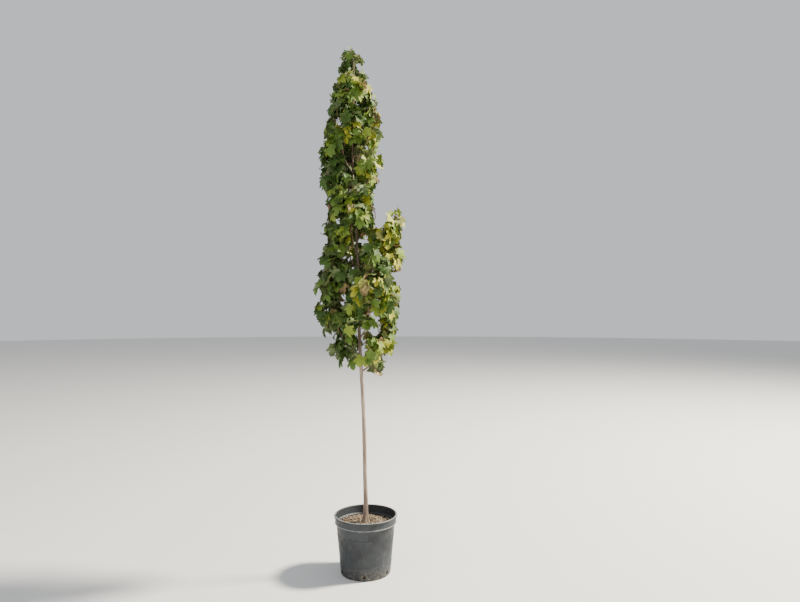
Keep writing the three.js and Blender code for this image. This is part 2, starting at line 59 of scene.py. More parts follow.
def pot_wall(height):
    """The outside radius of the tapered wall."""
    return POT_FOOT_RADIUS + (POT_LEDGE_RADIUS - POT_FOOT_RADIUS) * height / POT_LEDGE


def stacking_ring(height):
    """A low moulded ring round the tapered wall."""
    wall = pot_wall(height)
    return [
        (wall, height - 0.006, 0.002),
        (wall + RING_STANDS_OUT, height - 0.003, 0.001),
        (wall + RING_STANDS_OUT, height + 0.003, 0.001),
        (wall, height + 0.006, 0.002),
    ]


def rounded(corners, steps=4):
    """A profile of radius and height, with each corner curved by the size in its third place."""
    points = []
    for i, (radius, height, size) in enumerate(corners):
        here = Vector((radius, height))
        if size == 0:
            points.append(here)
            continue
        before = here + (Vector(corners[i - 1][:2]) - here).normalized() * size
        after = here + (Vector(corners[i + 1][:2]) - here).normalized() * size
        for step in range(steps + 1):
            t = step / steps
            points.append(before * (1 - t) ** 2 + here * 2 * t * (1 - t) + after * t**2)
    return points


# The profile goes from the middle of the underside to the foot, up the wall and its rings, over the
# ledge, the band and the lip, and down the inside to the middle of the floor.
pot_profile = rounded(
    [
        (0, 0.0022, 0),
        (0.15, 0.0022, 0.001),
        (0.154, 0, 0.001),
        (POT_FOOT_RADIUS - 0.001, 0, 0.006),
        *stacking_ring(LOW_RING),
        *stacking_ring(HIGH_RING),
        (POT_LEDGE_RADIUS, POT_LEDGE, 0.0015),
        (0.2138, 0.3415, 0.001),
        (0.2156, 0.3445, 0.001),
        (0.2152, 0.3495, 0.001),
        (0.2138, 0.3515, 0.0012),
        (0.2166, 0.386, 0.0015),
        (0.2212, 0.3885, 0.0015),
        (0.222, 0.394, 0.002),
        (0.22, 0.4, 0.003),
        (0.211, 0.4, 0.002),
        (0.2095, 0.394, 0.0015),
        (0.2095, 0.3455, 0.001),
        (POT_LEDGE_RADIUS - 0.004, 0.338, 0.001),
        (0.171, 0.006, 0.003),
        (0, 0.006, 0),
    ]
)


def joined(name, parts, finishes):
    """One mesh from parts, each with its points, its faces and which of the finishes it takes."""
    count = 0
    points, corners, sizes, slots = [], [], [], []
    for spots, faces, finish in parts:
        faces = np.asarray(faces)
        points.append(np.asarray(spots, dtype=np.float32))
        corners.append((faces + count).ravel())
        sizes.append(np.full(len(faces), faces.shape[1]))
        slots.append(np.broadcast_to(finish, len(faces)))
        count += len(spots)
    sizes = np.concatenate(sizes)
    corners = np.concatenate(corners)
    mesh = bpy.data.meshes.new(name)
    mesh.vertices.add(count)
    mesh.vertices.foreach_set("co", np.concatenate(points).ravel())
    mesh.loops.add(len(corners))
    mesh.loops.foreach_set("vertex_index", corners.astype(np.int32))
    mesh.polygons.add(len(sizes))
    mesh.polygons.foreach_set("loop_start", (np.cumsum(sizes) - sizes).astype(np.int32))
    mesh.polygons.foreach_set("material_index", np.concatenate(slots).astype(np.int32))
    mesh.polygons.foreach_set("use_smooth", np.ones(len(sizes), dtype=bool))
    mesh.update(calc_edges=True)
    for finish in finishes:
        mesh.materials.append(finish)
    piece = bpy.data.objects.new(name, mesh)
    bpy.context.scene.collection.objects.link(piece)
    return piece


def ring_faces(rings, sides):
    """The four-cornered faces between rings of points, closed round each ring."""
    ring = np.arange(rings - 1)[:, None] * sides
    side = np.arange(sides)[None, :]
    next_side = (side + 1) % sides
    quads = [ring + side, ring + next_side, ring + sides + next_side, ring + sides + side]
    return np.stack([quad.ravel() for quad in quads], axis=1)


def end_fan(first, sides, middle, flip):
    """Triangles that close a ring with a point at its middle."""
    around = [(first + i, first + (i + 1) % sides, middle) for i in range(sides)]
    return np.array([face[::-1] for face in around] if flip else around)


NO_POINTS = np.zeros((0, 3))


def ringed(name, points, sides, finishes):
    """One mesh of rings, closed at its two ends by the two points that come last."""
    count = len(points)
    rings = (count - 2) // sides
    first = end_fan(0, sides, count - 2, True) - count
    last = end_fan((rings - 1) * sides, sides, count - 1, False) - count
    walls = (points, ring_faces(rings, sides), 0)
    return joined(name, [walls, (NO_POINTS, first, 0), (NO_POINTS, last, 0)], finishes)


pot_angles = np.arange(POT_SIDES) * 2 * math.pi / POT_SIDES
pot_points = []
for radius, height in pot_profile[1:-1]:
    # A filled pot is never quite round: its lip and wall give a little.
    slack = POT_SLACK * min(1, height / 0.1)
    radii = radius - slack * (1 + np.cos(2 * pot_angles + 0.6)) / 2
    radii += POT_WAVE * np.cos(5 * pot_angles + 9 * height)
    around = [np.cos(pot_angles) * radii, np.sin(pot_angles) * radii, np.full(POT_SIDES, height)]
    pot_points.append(np.stack(around, axis=1))
centres = [(0, 0, pot_profile[0][1]), (0, 0, pot_profile[-1][1])]
pot_shell = ringed("nursery_pot_shell", np.concatenate([*pot_points, centres]), POT_SIDES, [])
for i in range(DRAIN_HOLES):
    azimuth = (i + 0.5) * 2 * math.pi / DRAIN_HOLES
    x, y = math.cos(azimuth) * DRAIN_FROM_MIDDLE, math.sin(azimuth) * DRAIN_FROM_MIDDLE
    bpy.ops.mesh.primitive_cylinder_add(
        vertices=DRILL_SIDES,
        radius=DRAIN_RADIUS,
        depth=DRILL_LENGTH,
        location=(x, y, DRAIN_HEIGHT),
        rotation=(0, math.pi / 2, azimuth),
    )
    drill = bpy.context.object
    cut = pot_shell.modifiers.new("drain", "BOOLEAN")
    cut.operation = "DIFFERENCE"
    cut.solver = "EXACT"
    cut.object = drill
    bpy.context.view_layer.update()
    seen = pot_shell.evaluated_get(bpy.context.evaluated_depsgraph_get())
    cut_mesh = bpy.data.meshes.new_from_object(seen)
    pot_shell.modifiers.clear()
    pot_shell.data = cut_mesh
    bpy.data.objects.remove(drill)
pot_shell.data.shade_smooth()
pot_shell.data.set_sharp_from_angle(angle=math.radians(40))


def finish(name, roughness=0.6, **values):
    """A new material with its node tree and its Principled shader, and plain values set on it."""
    made = bpy.data.materials.new(name)
    made.use_nodes = True
    tree = made.node_tree
    shader = tree.nodes["Principled BSDF"]
    shader.inputs["Roughness"].default_value = roughness
    for key, value in values.items():
        shader.inputs[key.replace("_", " ")].default_value = value
    return made, tree, shader


def put(tree, socket, value):
    """Joins a socket to another node's output, or sets it to a plain value."""
    if isinstance(value, bpy.types.NodeSocket):
        tree.links.new(value, socket)
    else:
        socket.default_value = value


def place(tree, stretch=(1, 1, 1)):
    """The point on the object in metres, with each axis multiplied."""
    where = tree.nodes.new("ShaderNodeTexCoord").outputs["Object"]
    scaled = tree.nodes.new("ShaderNodeVectorMath")
    scaled.operation = "MULTIPLY"
    put(tree, scaled.inputs[0], where)
    scaled.inputs[1].default_value = stretch
    return scaled.outputs[0]


def clouds(tree, scale, detail=3.0, stretch=(1, 1, 1), roughness=0.55):
    """Noise from 0 to 1 that is fixed to the object."""
    made = tree.nodes.new("ShaderNodeTexNoise")
    put(tree, made.inputs["Vector"], place(tree, stretch))
    made.inputs["Scale"].default_value = scale
    made.inputs["Detail"].default_value = detail
    made.inputs["Roughness"].default_value = roughness
    return made.outputs["Fac"]


def sums(tree, operation, first, second):
    """One step of arithmetic on two numbers, held between 0 and 1."""
    made = tree.nodes.new("ShaderNodeMath")
    made.operation = operation
    made.use_clamp = True
    put(tree, made.inputs[0], first)
    put(tree, made.inputs[1], second)
    return made.outputs[0]


def between(tree, value, low, high, start=0.0, end=1.0):
    """A number carried smoothly from one range to another, and held at its ends."""
    made = tree.nodes.new("ShaderNodeMapRange")
    made.interpolation_type = "SMOOTHSTEP"
    numbers = (value, low, high, start, end)
    for name, number in zip(("Value", "From Min", "From Max", "To Min", "To Max"), numbers):
        put(tree, made.inputs[name], number)
    return made.outputs["Result"]


def blended(tree, share, first, second):
    """A mix of two colours."""
    made = tree.nodes.new("ShaderNodeMix")
    made.data_type = "RGBA"
    put(tree, made.inputs[0], share)
    for socket, colour in ((made.inputs[6], first), (made.inputs[7], second)):
        put(tree, socket, (*colour, 1) if isinstance(colour, tuple) else colour)
    return made.outputs[2]


def stained(tree, colour, where, strength, stain):
    """A colour under a stain that lies wherever a number says so."""
    return blended(tree, sums(tree, "MULTIPLY", where, strength), colour, stain)


def bumps(tree, shader, height, distance, strength=1.0):
    """Small relief on a surface, as high as distance in metres."""
    made = tree.nodes.new("ShaderNodeBump")
    put(tree, made.inputs["Height"], height)
    made.inputs["Distance"].default_value = distance
    made.inputs["Strength"].default_value = strength
    tree.links.new(made.outputs["Normal"], shader.inputs["Normal"])


def axis_of(tree, kind, axis):
    """One axis of the point or of the surface's direction."""
    source = tree.nodes.new("ShaderNodeNewGeometry").outputs[kind]
    made = tree.nodes.new("ShaderNodeSeparateXYZ")
    put(tree, made.inputs[0], source)
    return made.outputs[axis]


pot_plastic, tree, shader = finish("weathered_pot_plastic", Specular_IOR_Level=0.32)
faded = between(tree, clouds(tree, 6, 4), 0.3, 0.75)
colour = blended(tree, faded, (0.016, 0.019, 0.022), (0.041, 0.048, 0.054))
rubbed = between(tree, clouds(tree, 34, 5, (1, 1, 0.3)), 0.56, 0.76)
colour = stained(tree, colour, rubbed, 0.25, (0.12, 0.125, 0.13))
# The lip and the ridge at the foot of the band are rubbed pale where pots are gripped and stacked, and
# their edges are painted paler still as a painted highlight. Each pair gives the two places, in metres,
# between which the wear and the painted highlight come or go.
WEAR_AND_HIGHLIGHT_FROM_MIDDLE = (0.2115, 0.2128)
WEAR_AND_HIGHLIGHT_UP_TO_RIDGE = (0.3435, 0.346)
WEAR_AND_HIGHLIGHT_OFF_RIDGE = (0.3495, 0.3515)
WEAR_AND_HIGHLIGHT_ON_LIP = (0.3965, 0.3992)
height = axis_of(tree, "Position", "Z")
out_from_middle = tree.nodes.new("ShaderNodeVectorMath")
out_from_middle.operation = "LENGTH"
put(tree, out_from_middle.inputs[0], place(tree, (1, 1, 0)))
outside = between(tree, out_from_middle.outputs["Value"], *WEAR_AND_HIGHLIGHT_FROM_MIDDLE)
ridge = between(tree, height, *WEAR_AND_HIGHLIGHT_UP_TO_RIDGE)
ridge = sums(tree, "MULTIPLY", ridge, between(tree, height, *WEAR_AND_HIGHLIGHT_OFF_RIDGE, 1, 0))
ridge = sums(tree, "MULTIPLY", ridge, outside)
edges = sums(tree, "MAXIMUM", ridge, between(tree, height, *WEAR_AND_HIGHLIGHT_ON_LIP))
# Painted highlight: the lip and ridge edges are painted pale, partly as wear and partly as a highlight
# along them.
worn_and_highlit = sums(tree, "MULTIPLY", edges, between(tree, clouds(tree, 60, 5), 0.28, 0.6, 0.25, 0.8))
colour = blended(tree, worn_and_highlit, colour, (0.27, 0.275, 0.27))
# Dust lies on what faces up, and soil splashed by watering clings near the foot.
upward = between(tree, axis_of(tree, "Normal", "Z"), 0.3, 0.95)
dust = sums(tree, "MULTIPLY", upward, between(tree, clouds(tree, 40, 4), 0.3, 0.7))
low_down = between(tree, height, 0.0, 0.11, 1, 0)
splashed = sums(tree, "MULTIPLY", low_down, between(tree, clouds(tree, 55, 6), 0.4, 0.74))
dirt = sums(tree, "MAXIMUM", sums(tree, "MULTIPLY", dust, 0.4), splashed)
colour = stained(tree, colour, dirt, 0.6, (0.22, 0.18, 0.135))
put(tree, shader.inputs["Base Color"], colour)
put(tree, shader.inputs["Roughness"], between(tree, clouds(tree, 22, 5), 0.3, 0.7, 0.42, 0.66))
bumps(tree, shader, clouds(tree, 420, 4, (1, 1, 0.5)), 0.0005, 0.5)
pot_shell.data.materials.append(pot_plastic)
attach(pot_shell, "root")
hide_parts("nursery_pot")

# The root ball. Roots and composted bark fill the pot to about 6 cm under its lip, packed by hand
# and watered in. The top is loose chips, bleached where the sun reaches them and dark between.
MIX_MIDDLE = 0.342
MIX_EDGE = 0.3285
MIX_RADIUS = 0.1985
MIX_LUMP = 0.0045
MIX_FOOT = 0.0065
# Height and radius of the ball against the inside of the pot, from the floor up.
MIX_WALL = ((MIX_FOOT, 0.1688), (0.1, 0.176), (0.2, 0.187), (0.3, 0.1965))
MIX_SIDES = 120
MIX_STEPS = 44
CHIPS = 5200
CHIP_LONGEST = 0.027
CHIP_SHORTEST = 0.007
CHIP_CEILING = 0.352
CHIP_FROM_WALL = 0.003
# Chips are bleached above the first of these, tan above the second, then brown, and dark below all.
CHIP_SUN = (0.76, 0.46, 0.2)


def dice(seed):
    """A seeded row of even numbers from 0 to 1."""
    state = seed * 2654435761 % 4294967296

    def roll():
        nonlocal state
        state = (state * 1664525 + 1013904223) % 4294967296
        return state / 4294967296

    return roll


def spread(roll, width):
    """A throw of the dice from -width to width."""
    return (roll() * 2 - 1) * width


def mix(low, high, share):
    """The number at a share of the way from one to another."""
    return low + (high - low) * share


def mix_height(x, y):
    """The height of the loose top of the mix."""
    share = math.hypot(x, y) / MIX_RADIUS
    height = mix(MIX_MIDDLE, MIX_EDGE, share**2.4)
    lump = MIX_LUMP * noise.noise(Vector((x * 22, y * 22, 4.0)))
    return height + lump + 0.0014 * noise.noise(Vector((x * 120, y * 120, 9.0)))


mix_rings = [*MIX_WALL]
mix_rings += [(None, MIX_RADIUS * step / MIX_STEPS) for step in range(MIX_STEPS, 0, -1)]
mix_points = []
for height, radius in mix_rings:
    for side in range(MIX_SIDES):
        angle = 2 * math.pi * side / MIX_SIDES
        x, y = math.cos(angle) * radius, math.sin(angle) * radius
        mix_points.append((x, y, mix_height(x, y) if height is None else height))
mix_points += [(0, 0, MIX_FOOT), (0, 0, mix_height(0, 0))]

damp_mix, tree, shader = finish("damp_bark_mix", 0.95, Specular_IOR_Level=0.25)
grain = clouds(tree, 130, 6)
colour = blended(tree, between(tree, grain, 0.3, 0.7), (0.020, 0.014, 0.010), (0.105, 0.068, 0.042))
put(tree, shader.inputs["Base Color"], colour)
bumps(tree, shader, grain, 0.004, 1.0)


def chip_finish(name, pale, deep):
    """Bark or wood with a fine grain between two of its colours."""
    made, tree, shader = finish(name, 0.88, Specular_IOR_Level=0.3)
    grain = clouds(tree, 95, 5, (1, 1, 2.2))
    share = between(tree, grain, 0.3, 0.72)
    put(tree, shader.inputs["Base Color"], blended(tree, share, deep, pale))
    bumps(tree, shader, clouds(tree, 420, 4), 0.0012, 0.8)
    return made


chip_finishes = [
    chip_finish("bleached_chip", (0.40, 0.345, 0.26), (0.25, 0.20, 0.14)),
    chip_finish("tan_chip", (0.27, 0.205, 0.125), (0.155, 0.11, 0.066)),
    chip_finish("brown_chip", (0.155, 0.10, 0.062), (0.075, 0.048, 0.031)),
    chip_finish("dark_chip", (0.085, 0.062, 0.046), (0.032, 0.024, 0.018)),
]
CHIP_FACES = np.array(
    [(0, 3, 2, 1), (4, 5, 6, 7), (0, 1, 5, 4), (1, 2, 6, 5), (2, 3, 7, 6), (3, 0, 4, 7)]
)
roll = dice(7)
chips = []
for i in range(CHIPS):
    angle = roll() * 2 * math.pi
    far = math.sqrt(mix(0.017, 1, roll())) * (MIX_RADIUS - CHIP_FROM_WALL)
    x, y = math.cos(angle) * far, math.sin(angle) * far
    length = mix(CHIP_SHORTEST, CHIP_LONGEST, roll() ** 2.2)
    width = length * mix(0.28, 0.6, roll())
    height = max(0.0016, width * mix(0.2, 0.42, roll()))
    if far + length / 2 > MIX_RADIUS:
        length, width = length * 0.4, width * 0.5
    turn = Matrix.Rotation(roll() * 2 * math.pi, 3, "Z")
    turn = turn @ Matrix.Rotation(spread(roll, 0.55), 3, "Y")
    turn = turn @ Matrix.Rotation(spread(roll, 0.6), 3, "X")
    low = mix_height(x, y) + height * mix(-0.1, 0.9, roll())
    spots = []
    for level in (-0.5, 0.5):
        for along, across in ((-0.5, -0.5), (0.5, -0.5), (0.5, 0.5), (-0.5, 0.5)):
            corner = Vector((along * length, across * width, level * height))
            corner.x *= mix(0.65, 1, roll())
            corner.y *= mix(0.5, 1, roll())
            corner.z *= mix(0.6, 1.2, roll())
            corner = turn @ corner
            spots.append((x + corner.x, y + corner.y, min(low + corner.z, CHIP_CEILING)))
    sunlit = roll() + 0.25 * noise.noise(Vector((x * 9, y * 9, 2.0)))
    chips.append((spots, CHIP_FACES, sum(sunlit <= least for least in CHIP_SUN)))
root_ball = ringed("root_ball_and_mix", mix_points, MIX_SIDES, [damp_mix])
bark_chips = joined("loose_bark_chips", chips, chip_finishes)
bark_chips.data.shade_flat()
for piece in (root_ball, bark_chips):
    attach(piece, "root")
    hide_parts("root_ball")

# The trunk. One straight young stem that rises from the root ball, flares at its foot, leans a
# little and tapers through the crown. Its bark is thin and pinkish tan, with streaks and leaf rings.
GAP = 0.0003
SOIL_TOP = 0.344
TREE_TOP = 3.75
TRUNK_END = 3.43
TRUNK_CALIPER = 0.03
CALIPER_HEIGHT = 0.15
TRUNK_TAPER = 0.62
FLARE_RADIUS = 0.011
FLARE_HEIGHT = 0.045
TRUNK_LEAN = 0.04
TRUNK_SWAY = 0.007
TRUNK_SWAY_LENGTH = 1.15
UP = Vector((0, 0, 1))


def level_way(azimuth):
    """The level direction at an azimuth."""
    return Vector((math.cos(azimuth), math.sin(azimuth), 0))


def trunk_middle(height):
    """The middle of the trunk: it rises straight from the pot, then leans and sways a little."""
    rise = max(0, height - SOIL_TOP - CALIPER_HEIGHT)
    sway = TRUNK_SWAY * (1 - math.cos(2 * math.pi * rise / TRUNK_SWAY_LENGTH))
    return Vector((-TRUNK_LEAN * rise + sway / 2, sway, height))


def trunk_radius(height):
    """The trunk tapers towards the very top, and flares where it meets the roots."""
    share = (TREE_TOP - height) / (TREE_TOP - SOIL_TOP - CALIPER_HEIGHT)
    flare = FLARE_RADIUS * math.exp(-(height - SOIL_TOP) / FLARE_HEIGHT)
    return TRUNK_CALIPER / 2 * share**TRUNK_TAPER + flare


# The boughs' places come first, because the trunk swells round each of them.
BOUGHS = 16
LOWEST_BOUGH = 1.395
HIGHEST_BOUGH = 3.13
FIRST_AZIMUTH = 0.35
SPIRAL_TURN = math.radians(137.5)
BOUGH_STAND_OFF = 0.42
BOUGH_RISE_LOW = 0.95
BOUGH_RISE_HIGH = 1.35
BOUGH_SHARE_OF_TRUNK = 0.5
BOUGH_LEAST_RADIUS = 0.004
BOUGH_TIP_SHARE = 0.85
BOUGH_STEPS = 24
BOUGH_HEIGHT_LOOSE = 0.022
BOUGH_TURN_LOOSE = 0.16
BOUGH_LENGTH_LOOSE = 0.1
ELBOW_OUT = 0.8
ELBOW_UP = 0.42
FOLIAGE_LENGTH_LOW = 0.47
FOLIAGE_LENGTH_HIGH = 0.3
STEM_STEPS = 4
STEM_WANDER = 0.1
TOP_SHARE = 0.56
TOP_SPREAD = 0.08
SPREADING_BOUGH = 5
SPREADING_TOP_SHARE = 0.72
# How far the leaves reach from the trunk at each height, towards -X and towards +X.
CROWN_OUTLINE = [
    (1.18, 0.06, 0.06),
    (1.33, 0.2, 0.19),
    (1.45, 0.27, 0.245),
    (1.6, 0.325, 0.3),
    (1.86, 0.35, 0.355),
    (2.2, 0.325, 0.38),
    (2.48, 0.285, 0.385),
    (2.6, 0.27, 0.365),
    (2.7, 0.265, 0.245),
    (2.88, 0.27, 0.24),
    (3.1, 0.25, 0.245),
    (3.33, 0.205, 0.215),
    (3.62, 0.145, 0.155),
    (3.75, 0.07, 0.075),
]
LEAST_FILL = 0.9


def crown_reach(height, azimuth):
    """How far the crown reaches from the trunk's middle at a height, on one side."""
    heights, left, right = zip(*CROWN_OUTLINE)
    to_left = float(np.interp(height, heights, left))
    to_right = float(np.interp(height, heights, right))
    return mix(to_left, to_right, (1 + math.cos(azimuth)) / 2)


def stem_path(start, heading, lean, length, roll):
    """A foliage stem: it starts along one heading and swings round to another."""
    path = [start]
    for i in range(1, STEM_STEPS + 1):
        step = heading.lerp(lean, min(1, (i - 1) / (STEM_STEPS - 2)))
        wander = STEM_WANDER if i > 1 else 0
        step += Vector((spread(roll, wander), spread(roll, wander), 0))
        path.append(path[-1] + step.normalized() * (length / STEM_STEPS))
    return path


def bent(start, elbow, end, shares):
    """Points at some shares of a line that bends once, at its elbow."""
    return [start * (1 - t) ** 2 + elbow * 2 * t * (1 - t) + end * t**2 for t in shares]


def plan_bough(index):
    """Where one bough leaves the trunk, how it curves up, and how its foliage stem goes on."""
    roll = dice(101 + index)
    share = index / (BOUGHS - 1)
    height = mix(LOWEST_BOUGH, HIGHEST_BOUGH, share) + spread(roll, BOUGH_HEIGHT_LOOSE)
    azimuth = FIRST_AZIMUTH + index * SPIRAL_TURN + spread(roll, BOUGH_TURN_LOOSE)
    outward = level_way(azimuth)
    foot = trunk_middle(height)
    length = mix(FOLIAGE_LENGTH_LOW, FOLIAGE_LENGTH_HIGH, share)
    length *= 1 + spread(roll, BOUGH_LENGTH_LOOSE)
    stand_off = crown_reach(height + length / 2, azimuth) * BOUGH_STAND_OFF
    rise = mix(BOUGH_RISE_LOW, BOUGH_RISE_HIGH, share) * stand_off
    elbow = foot + outward * stand_off * ELBOW_OUT + UP * rise * ELBOW_UP
    tip = foot + outward * stand_off + UP * rise
    curve = bent(foot, elbow, tip, [step / BOUGH_STEPS for step in range(BOUGH_STEPS + 1)])
    # The foliage stem goes on the way that the last quarter of the bough points.
    last_quarter = foot / 16 + elbow * 6 / 16 + tip * 9 / 16
    heading = (tip - last_quarter).normalized()
    thick = max(BOUGH_LEAST_RADIUS, trunk_radius(height) * BOUGH_SHARE_OF_TRUNK)
    top_share = SPREADING_TOP_SHARE if index == SPREADING_BOUGH else TOP_SHARE
    top_share += spread(roll, TOP_SPREAD)
    top_reach = crown_reach(tip.z + length, azimuth) * top_share
    lean = (outward * (top_reach - stand_off) / length + UP).normalized()
    stem = stem_path(tip + heading * GAP, heading, lean, length, roll)
    return {
        "name": f"foliage_{index + 1:02d}",
        "foot": foot,
        "azimuth": azimuth,
        "curve": curve,
        "foot_radius": thick,
        "thick": thick * BOUGH_TIP_SHARE,
        "stem": stem,
        "heading": heading,
    }


boughs = [plan_bough(i) for i in range(BOUGHS)]

BARK_SIDES = 36
BARK_RINGS = 560
# How far the bark's relief stands out, in metres, and over what height.
BARK_WAVES = 0.0007
BARK_GRAIN = 0.00035
BARK_SWELLS = 0.0016
ROOT_RIB_HEIGHT = 0.032
LEAF_RING_HEIGHT = 0.005
SCAR_LIP = 0.0019
SCAR_HOLLOW = 0.0008
COLLAR_HEIGHT = 0.017
COLLAR_SHARE_OF_BOUGH = 0.24
SCARS = 11
roll = dice(31)
leaf_rings = []
ring_height = SOIL_TOP + 0.11
while ring_height < TRUNK_END:
    leaf_rings.append((ring_height, mix(0.00025, 0.0007, roll())))
    ring_height += mix(0.055, 0.15, roll())
scars = []
for i in range(SCARS):
    share = (i + spread(roll, 0.35)) / (SCARS - 1)
    height = mix(SOIL_TOP + 0.17, LOWEST_BOUGH + 0.12, share)
    scars.append((height, i * SPIRAL_TURN + spread(roll, 0.5), mix(0.0035, 0.0062, roll())))


def across_bark(angle, azimuth, radius):
    """How far round the trunk one place lies from another."""
    turn = (angle - azimuth + math.pi) % (2 * math.pi) - math.pi
    return turn * radius


def bark_relief(height, angle, radius):
    """How far the bark stands out from the trunk's even taper."""
    around = level_way(angle)
    out = BARK_WAVES * noise.noise(around * 2.6 + UP * height * 6.0)
    out += BARK_GRAIN * noise.noise(around * 7.0 + UP * height * 22.0)
    out += BARK_SWELLS * noise.noise(UP * height * 5.0 + around * 0.5) * radius / (TRUNK_CALIPER / 2)
    foot = math.exp(-(height - SOIL_TOP) / ROOT_RIB_HEIGHT)
    out += foot * (0.0035 * math.cos(3 * angle + 0.8) + 0.0022 * math.cos(5 * angle + 2.1))
    for place_up, size in leaf_rings:
        if abs(height - place_up) < 0.02:
            out += size * math.exp(-(((height - place_up) / LEAF_RING_HEIGHT) ** 2))
    for place_up, azimuth, size in scars:
        rise = height - place_up
        if abs(rise) < 0.03:
            far = math.hypot(rise * 0.8, across_bark(angle, azimuth, radius)) / size
            out += SCAR_LIP * math.exp(-((far - 1) ** 2) * 5) - SCAR_HOLLOW * math.exp(-far * far * 4)
    for bough in boughs:
        rise = height - bough["foot"].z - bough["foot_radius"] * 0.8
        if abs(rise) < 0.06:
            side = across_bark(angle, bough["azimuth"], radius)
            swell = math.exp(-((rise / COLLAR_HEIGHT) ** 2) - (side / (radius * 0.75)) ** 2)
            out += COLLAR_SHARE_OF_BOUGH * bough["foot_radius"] * swell
    return out


trunk_points = []
for i in range(BARK_RINGS + 1):
    height = mix(SOIL_TOP + GAP, TRUNK_END, (i / BARK_RINGS) ** 1.15)
    middle, radius = trunk_middle(height), trunk_radius(height)
    for side in range(BARK_SIDES):
        angle = 2 * math.pi * side / BARK_SIDES
        far = radius + bark_relief(height, angle, radius) * min(1, radius / 0.007)
        x, y = middle.x + math.cos(angle) * far, middle.y + math.sin(angle) * far
        trunk_points.append((x, y, height))
trunk_points += [trunk_middle(SOIL_TOP + GAP), trunk_middle(TRUNK_END)]

pale_bark, tree, shader = finish("pale_young_bark", Specular_IOR_Level=0.28)
streaks = clouds(tree, 60, 6, (1, 1, 0.06))
streaked = between(tree, streaks, 0.36, 0.64)
colour = blended(tree, streaked, (0.155, 0.106, 0.08), (0.335, 0.26, 0.203))
blotches = between(tree, clouds(tree, 11, 5, (1, 1, 0.3)), 0.46, 0.64)
colour = stained(tree, colour, blotches, 0.5, (0.46, 0.385, 0.32))
flushed = between(tree, clouds(tree, 8, 4, (1, 1, 0.25)), 0.55, 0.7)
colour = stained(tree, colour, flushed, 0.4, (0.265, 0.165, 0.125))
cracks = between(tree, clouds(tree, 170, 5, (1, 1, 0.04)), 0.56, 0.68)
colour = stained(tree, colour, cracks, 0.75, (0.105, 0.069, 0.05))
pores = tree.nodes.new("ShaderNodeTexVoronoi")
put(tree, pores.inputs["Vector"], place(tree, (1, 1, 2.1)))
pores.inputs["Scale"].default_value = 125
pore = between(tree, pores.outputs["Distance"], 0.12, 0.27, 1, 0)
colour = stained(tree, colour, pore, 0.5, (0.19, 0.115, 0.075))
# The bark is browner on the younger wood inside the leaves, and soiled at the foot.
young = between(tree, axis_of(tree, "Position", "Z"), 1.7, 3.2)
colour = stained(tree, colour, young, 0.75, (0.18, 0.132, 0.083))
soiled = between(tree, axis_of(tree, "Position", "Z"), 0.345, 0.43, 0.7, 0)
colour = blended(tree, soiled, colour, (0.235, 0.18, 0.125))
put(tree, shader.inputs["Base Color"], colour)
put(tree, shader.inputs["Roughness"], between(tree, streaks, 0.3, 0.7, 0.86, 0.66))
ridges = sums(tree, "ADD", sums(tree, "MULTIPLY", streaks, 0.7), sums(tree, "MULTIPLY", pore, 0.3))
ridges = sums(tree, "SUBTRACT", ridges, sums(tree, "MULTIPLY", cracks, 0.35))
bumps(tree, shader, ridges, 0.0022)

trunk_bark = ringed("trunk_bark", trunk_points, BARK_SIDES, [pale_bark])
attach(trunk_bark, "root")
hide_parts("trunk")

# The pruning scars. Each is the healed cut of a side shoot that the grower took off: a grey-brown
# disc of old wood, sunk in a lip of new bark.
scar_wood, tree, shader = finish("healed_cut_wood", 0.9, Specular_IOR_Level=0.25)
grain = clouds(tree, 300, 5)
colour = blended(tree, between(tree, grain, 0.3, 0.7), (0.075, 0.05, 0.037), (0.23, 0.165, 0.12))
put(tree, shader.inputs["Base Color"], colour)
bumps(tree, shader, grain, 0.0008, 1.0)
SCAR_SIDES = 14
# Each ring of a scar has its share of the scar's size, and how far it stands out of the trunk.
SCAR_RINGS = ((0.82, -0.0011), (0.62, 0.0007), (0.3, 0.0004))
scar_parts = []
for height, azimuth, size in scars:
    outward = level_way(azimuth)
    beside = UP.cross(outward)
    radius = trunk_radius(height)
    spots = []
    for reach, out in SCAR_RINGS:
        for side in range(SCAR_SIDES):
            angle = 2 * math.pi * side / SCAR_SIDES
            along_trunk = math.sin(angle) * size * reach * 1.15
            round_trunk = math.cos(angle) * size * reach
            turn = round_trunk / radius
            point = trunk_middle(height + along_trunk)
            lift = radius + out + 0.0003 * math.sin(5 * angle + height * 90)
            point += (outward * math.cos(turn) + beside * math.sin(turn)) * lift
            spots.append(point)
    spots.append(trunk_middle(height) + outward * (radius + 0.0001))
    scar_parts.append((spots, ring_faces(len(SCAR_RINGS), SCAR_SIDES), 0))
    fan = end_fan(len(spots) - 1 - SCAR_SIDES, SCAR_SIDES, len(spots) - 1, False)
    scar_parts.append((NO_POINTS, fan - len(spots), 0))
pruning_scars = joined("pruning_scars", scar_parts, [scar_wood])
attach(pruning_scars, "root")
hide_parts("trunk")

# The boughs. Sixteen side branches leave the trunk in a spiral, each out of its own collar, and
# curve up into the crown. Their bark is thinner and browner than the trunk's.
BOUGH_SIDES = 14
COLLAR_SWELL = 0.55
COLLAR_REACH = 0.011
KNOBS = 0.13


def squared(direction):
    """Any direction square to the one given."""
    helper = UP if abs(direction.z) < 0.9 else Vector((1, 0, 0))
    return (helper - direction * helper.dot(direction)).normalized()


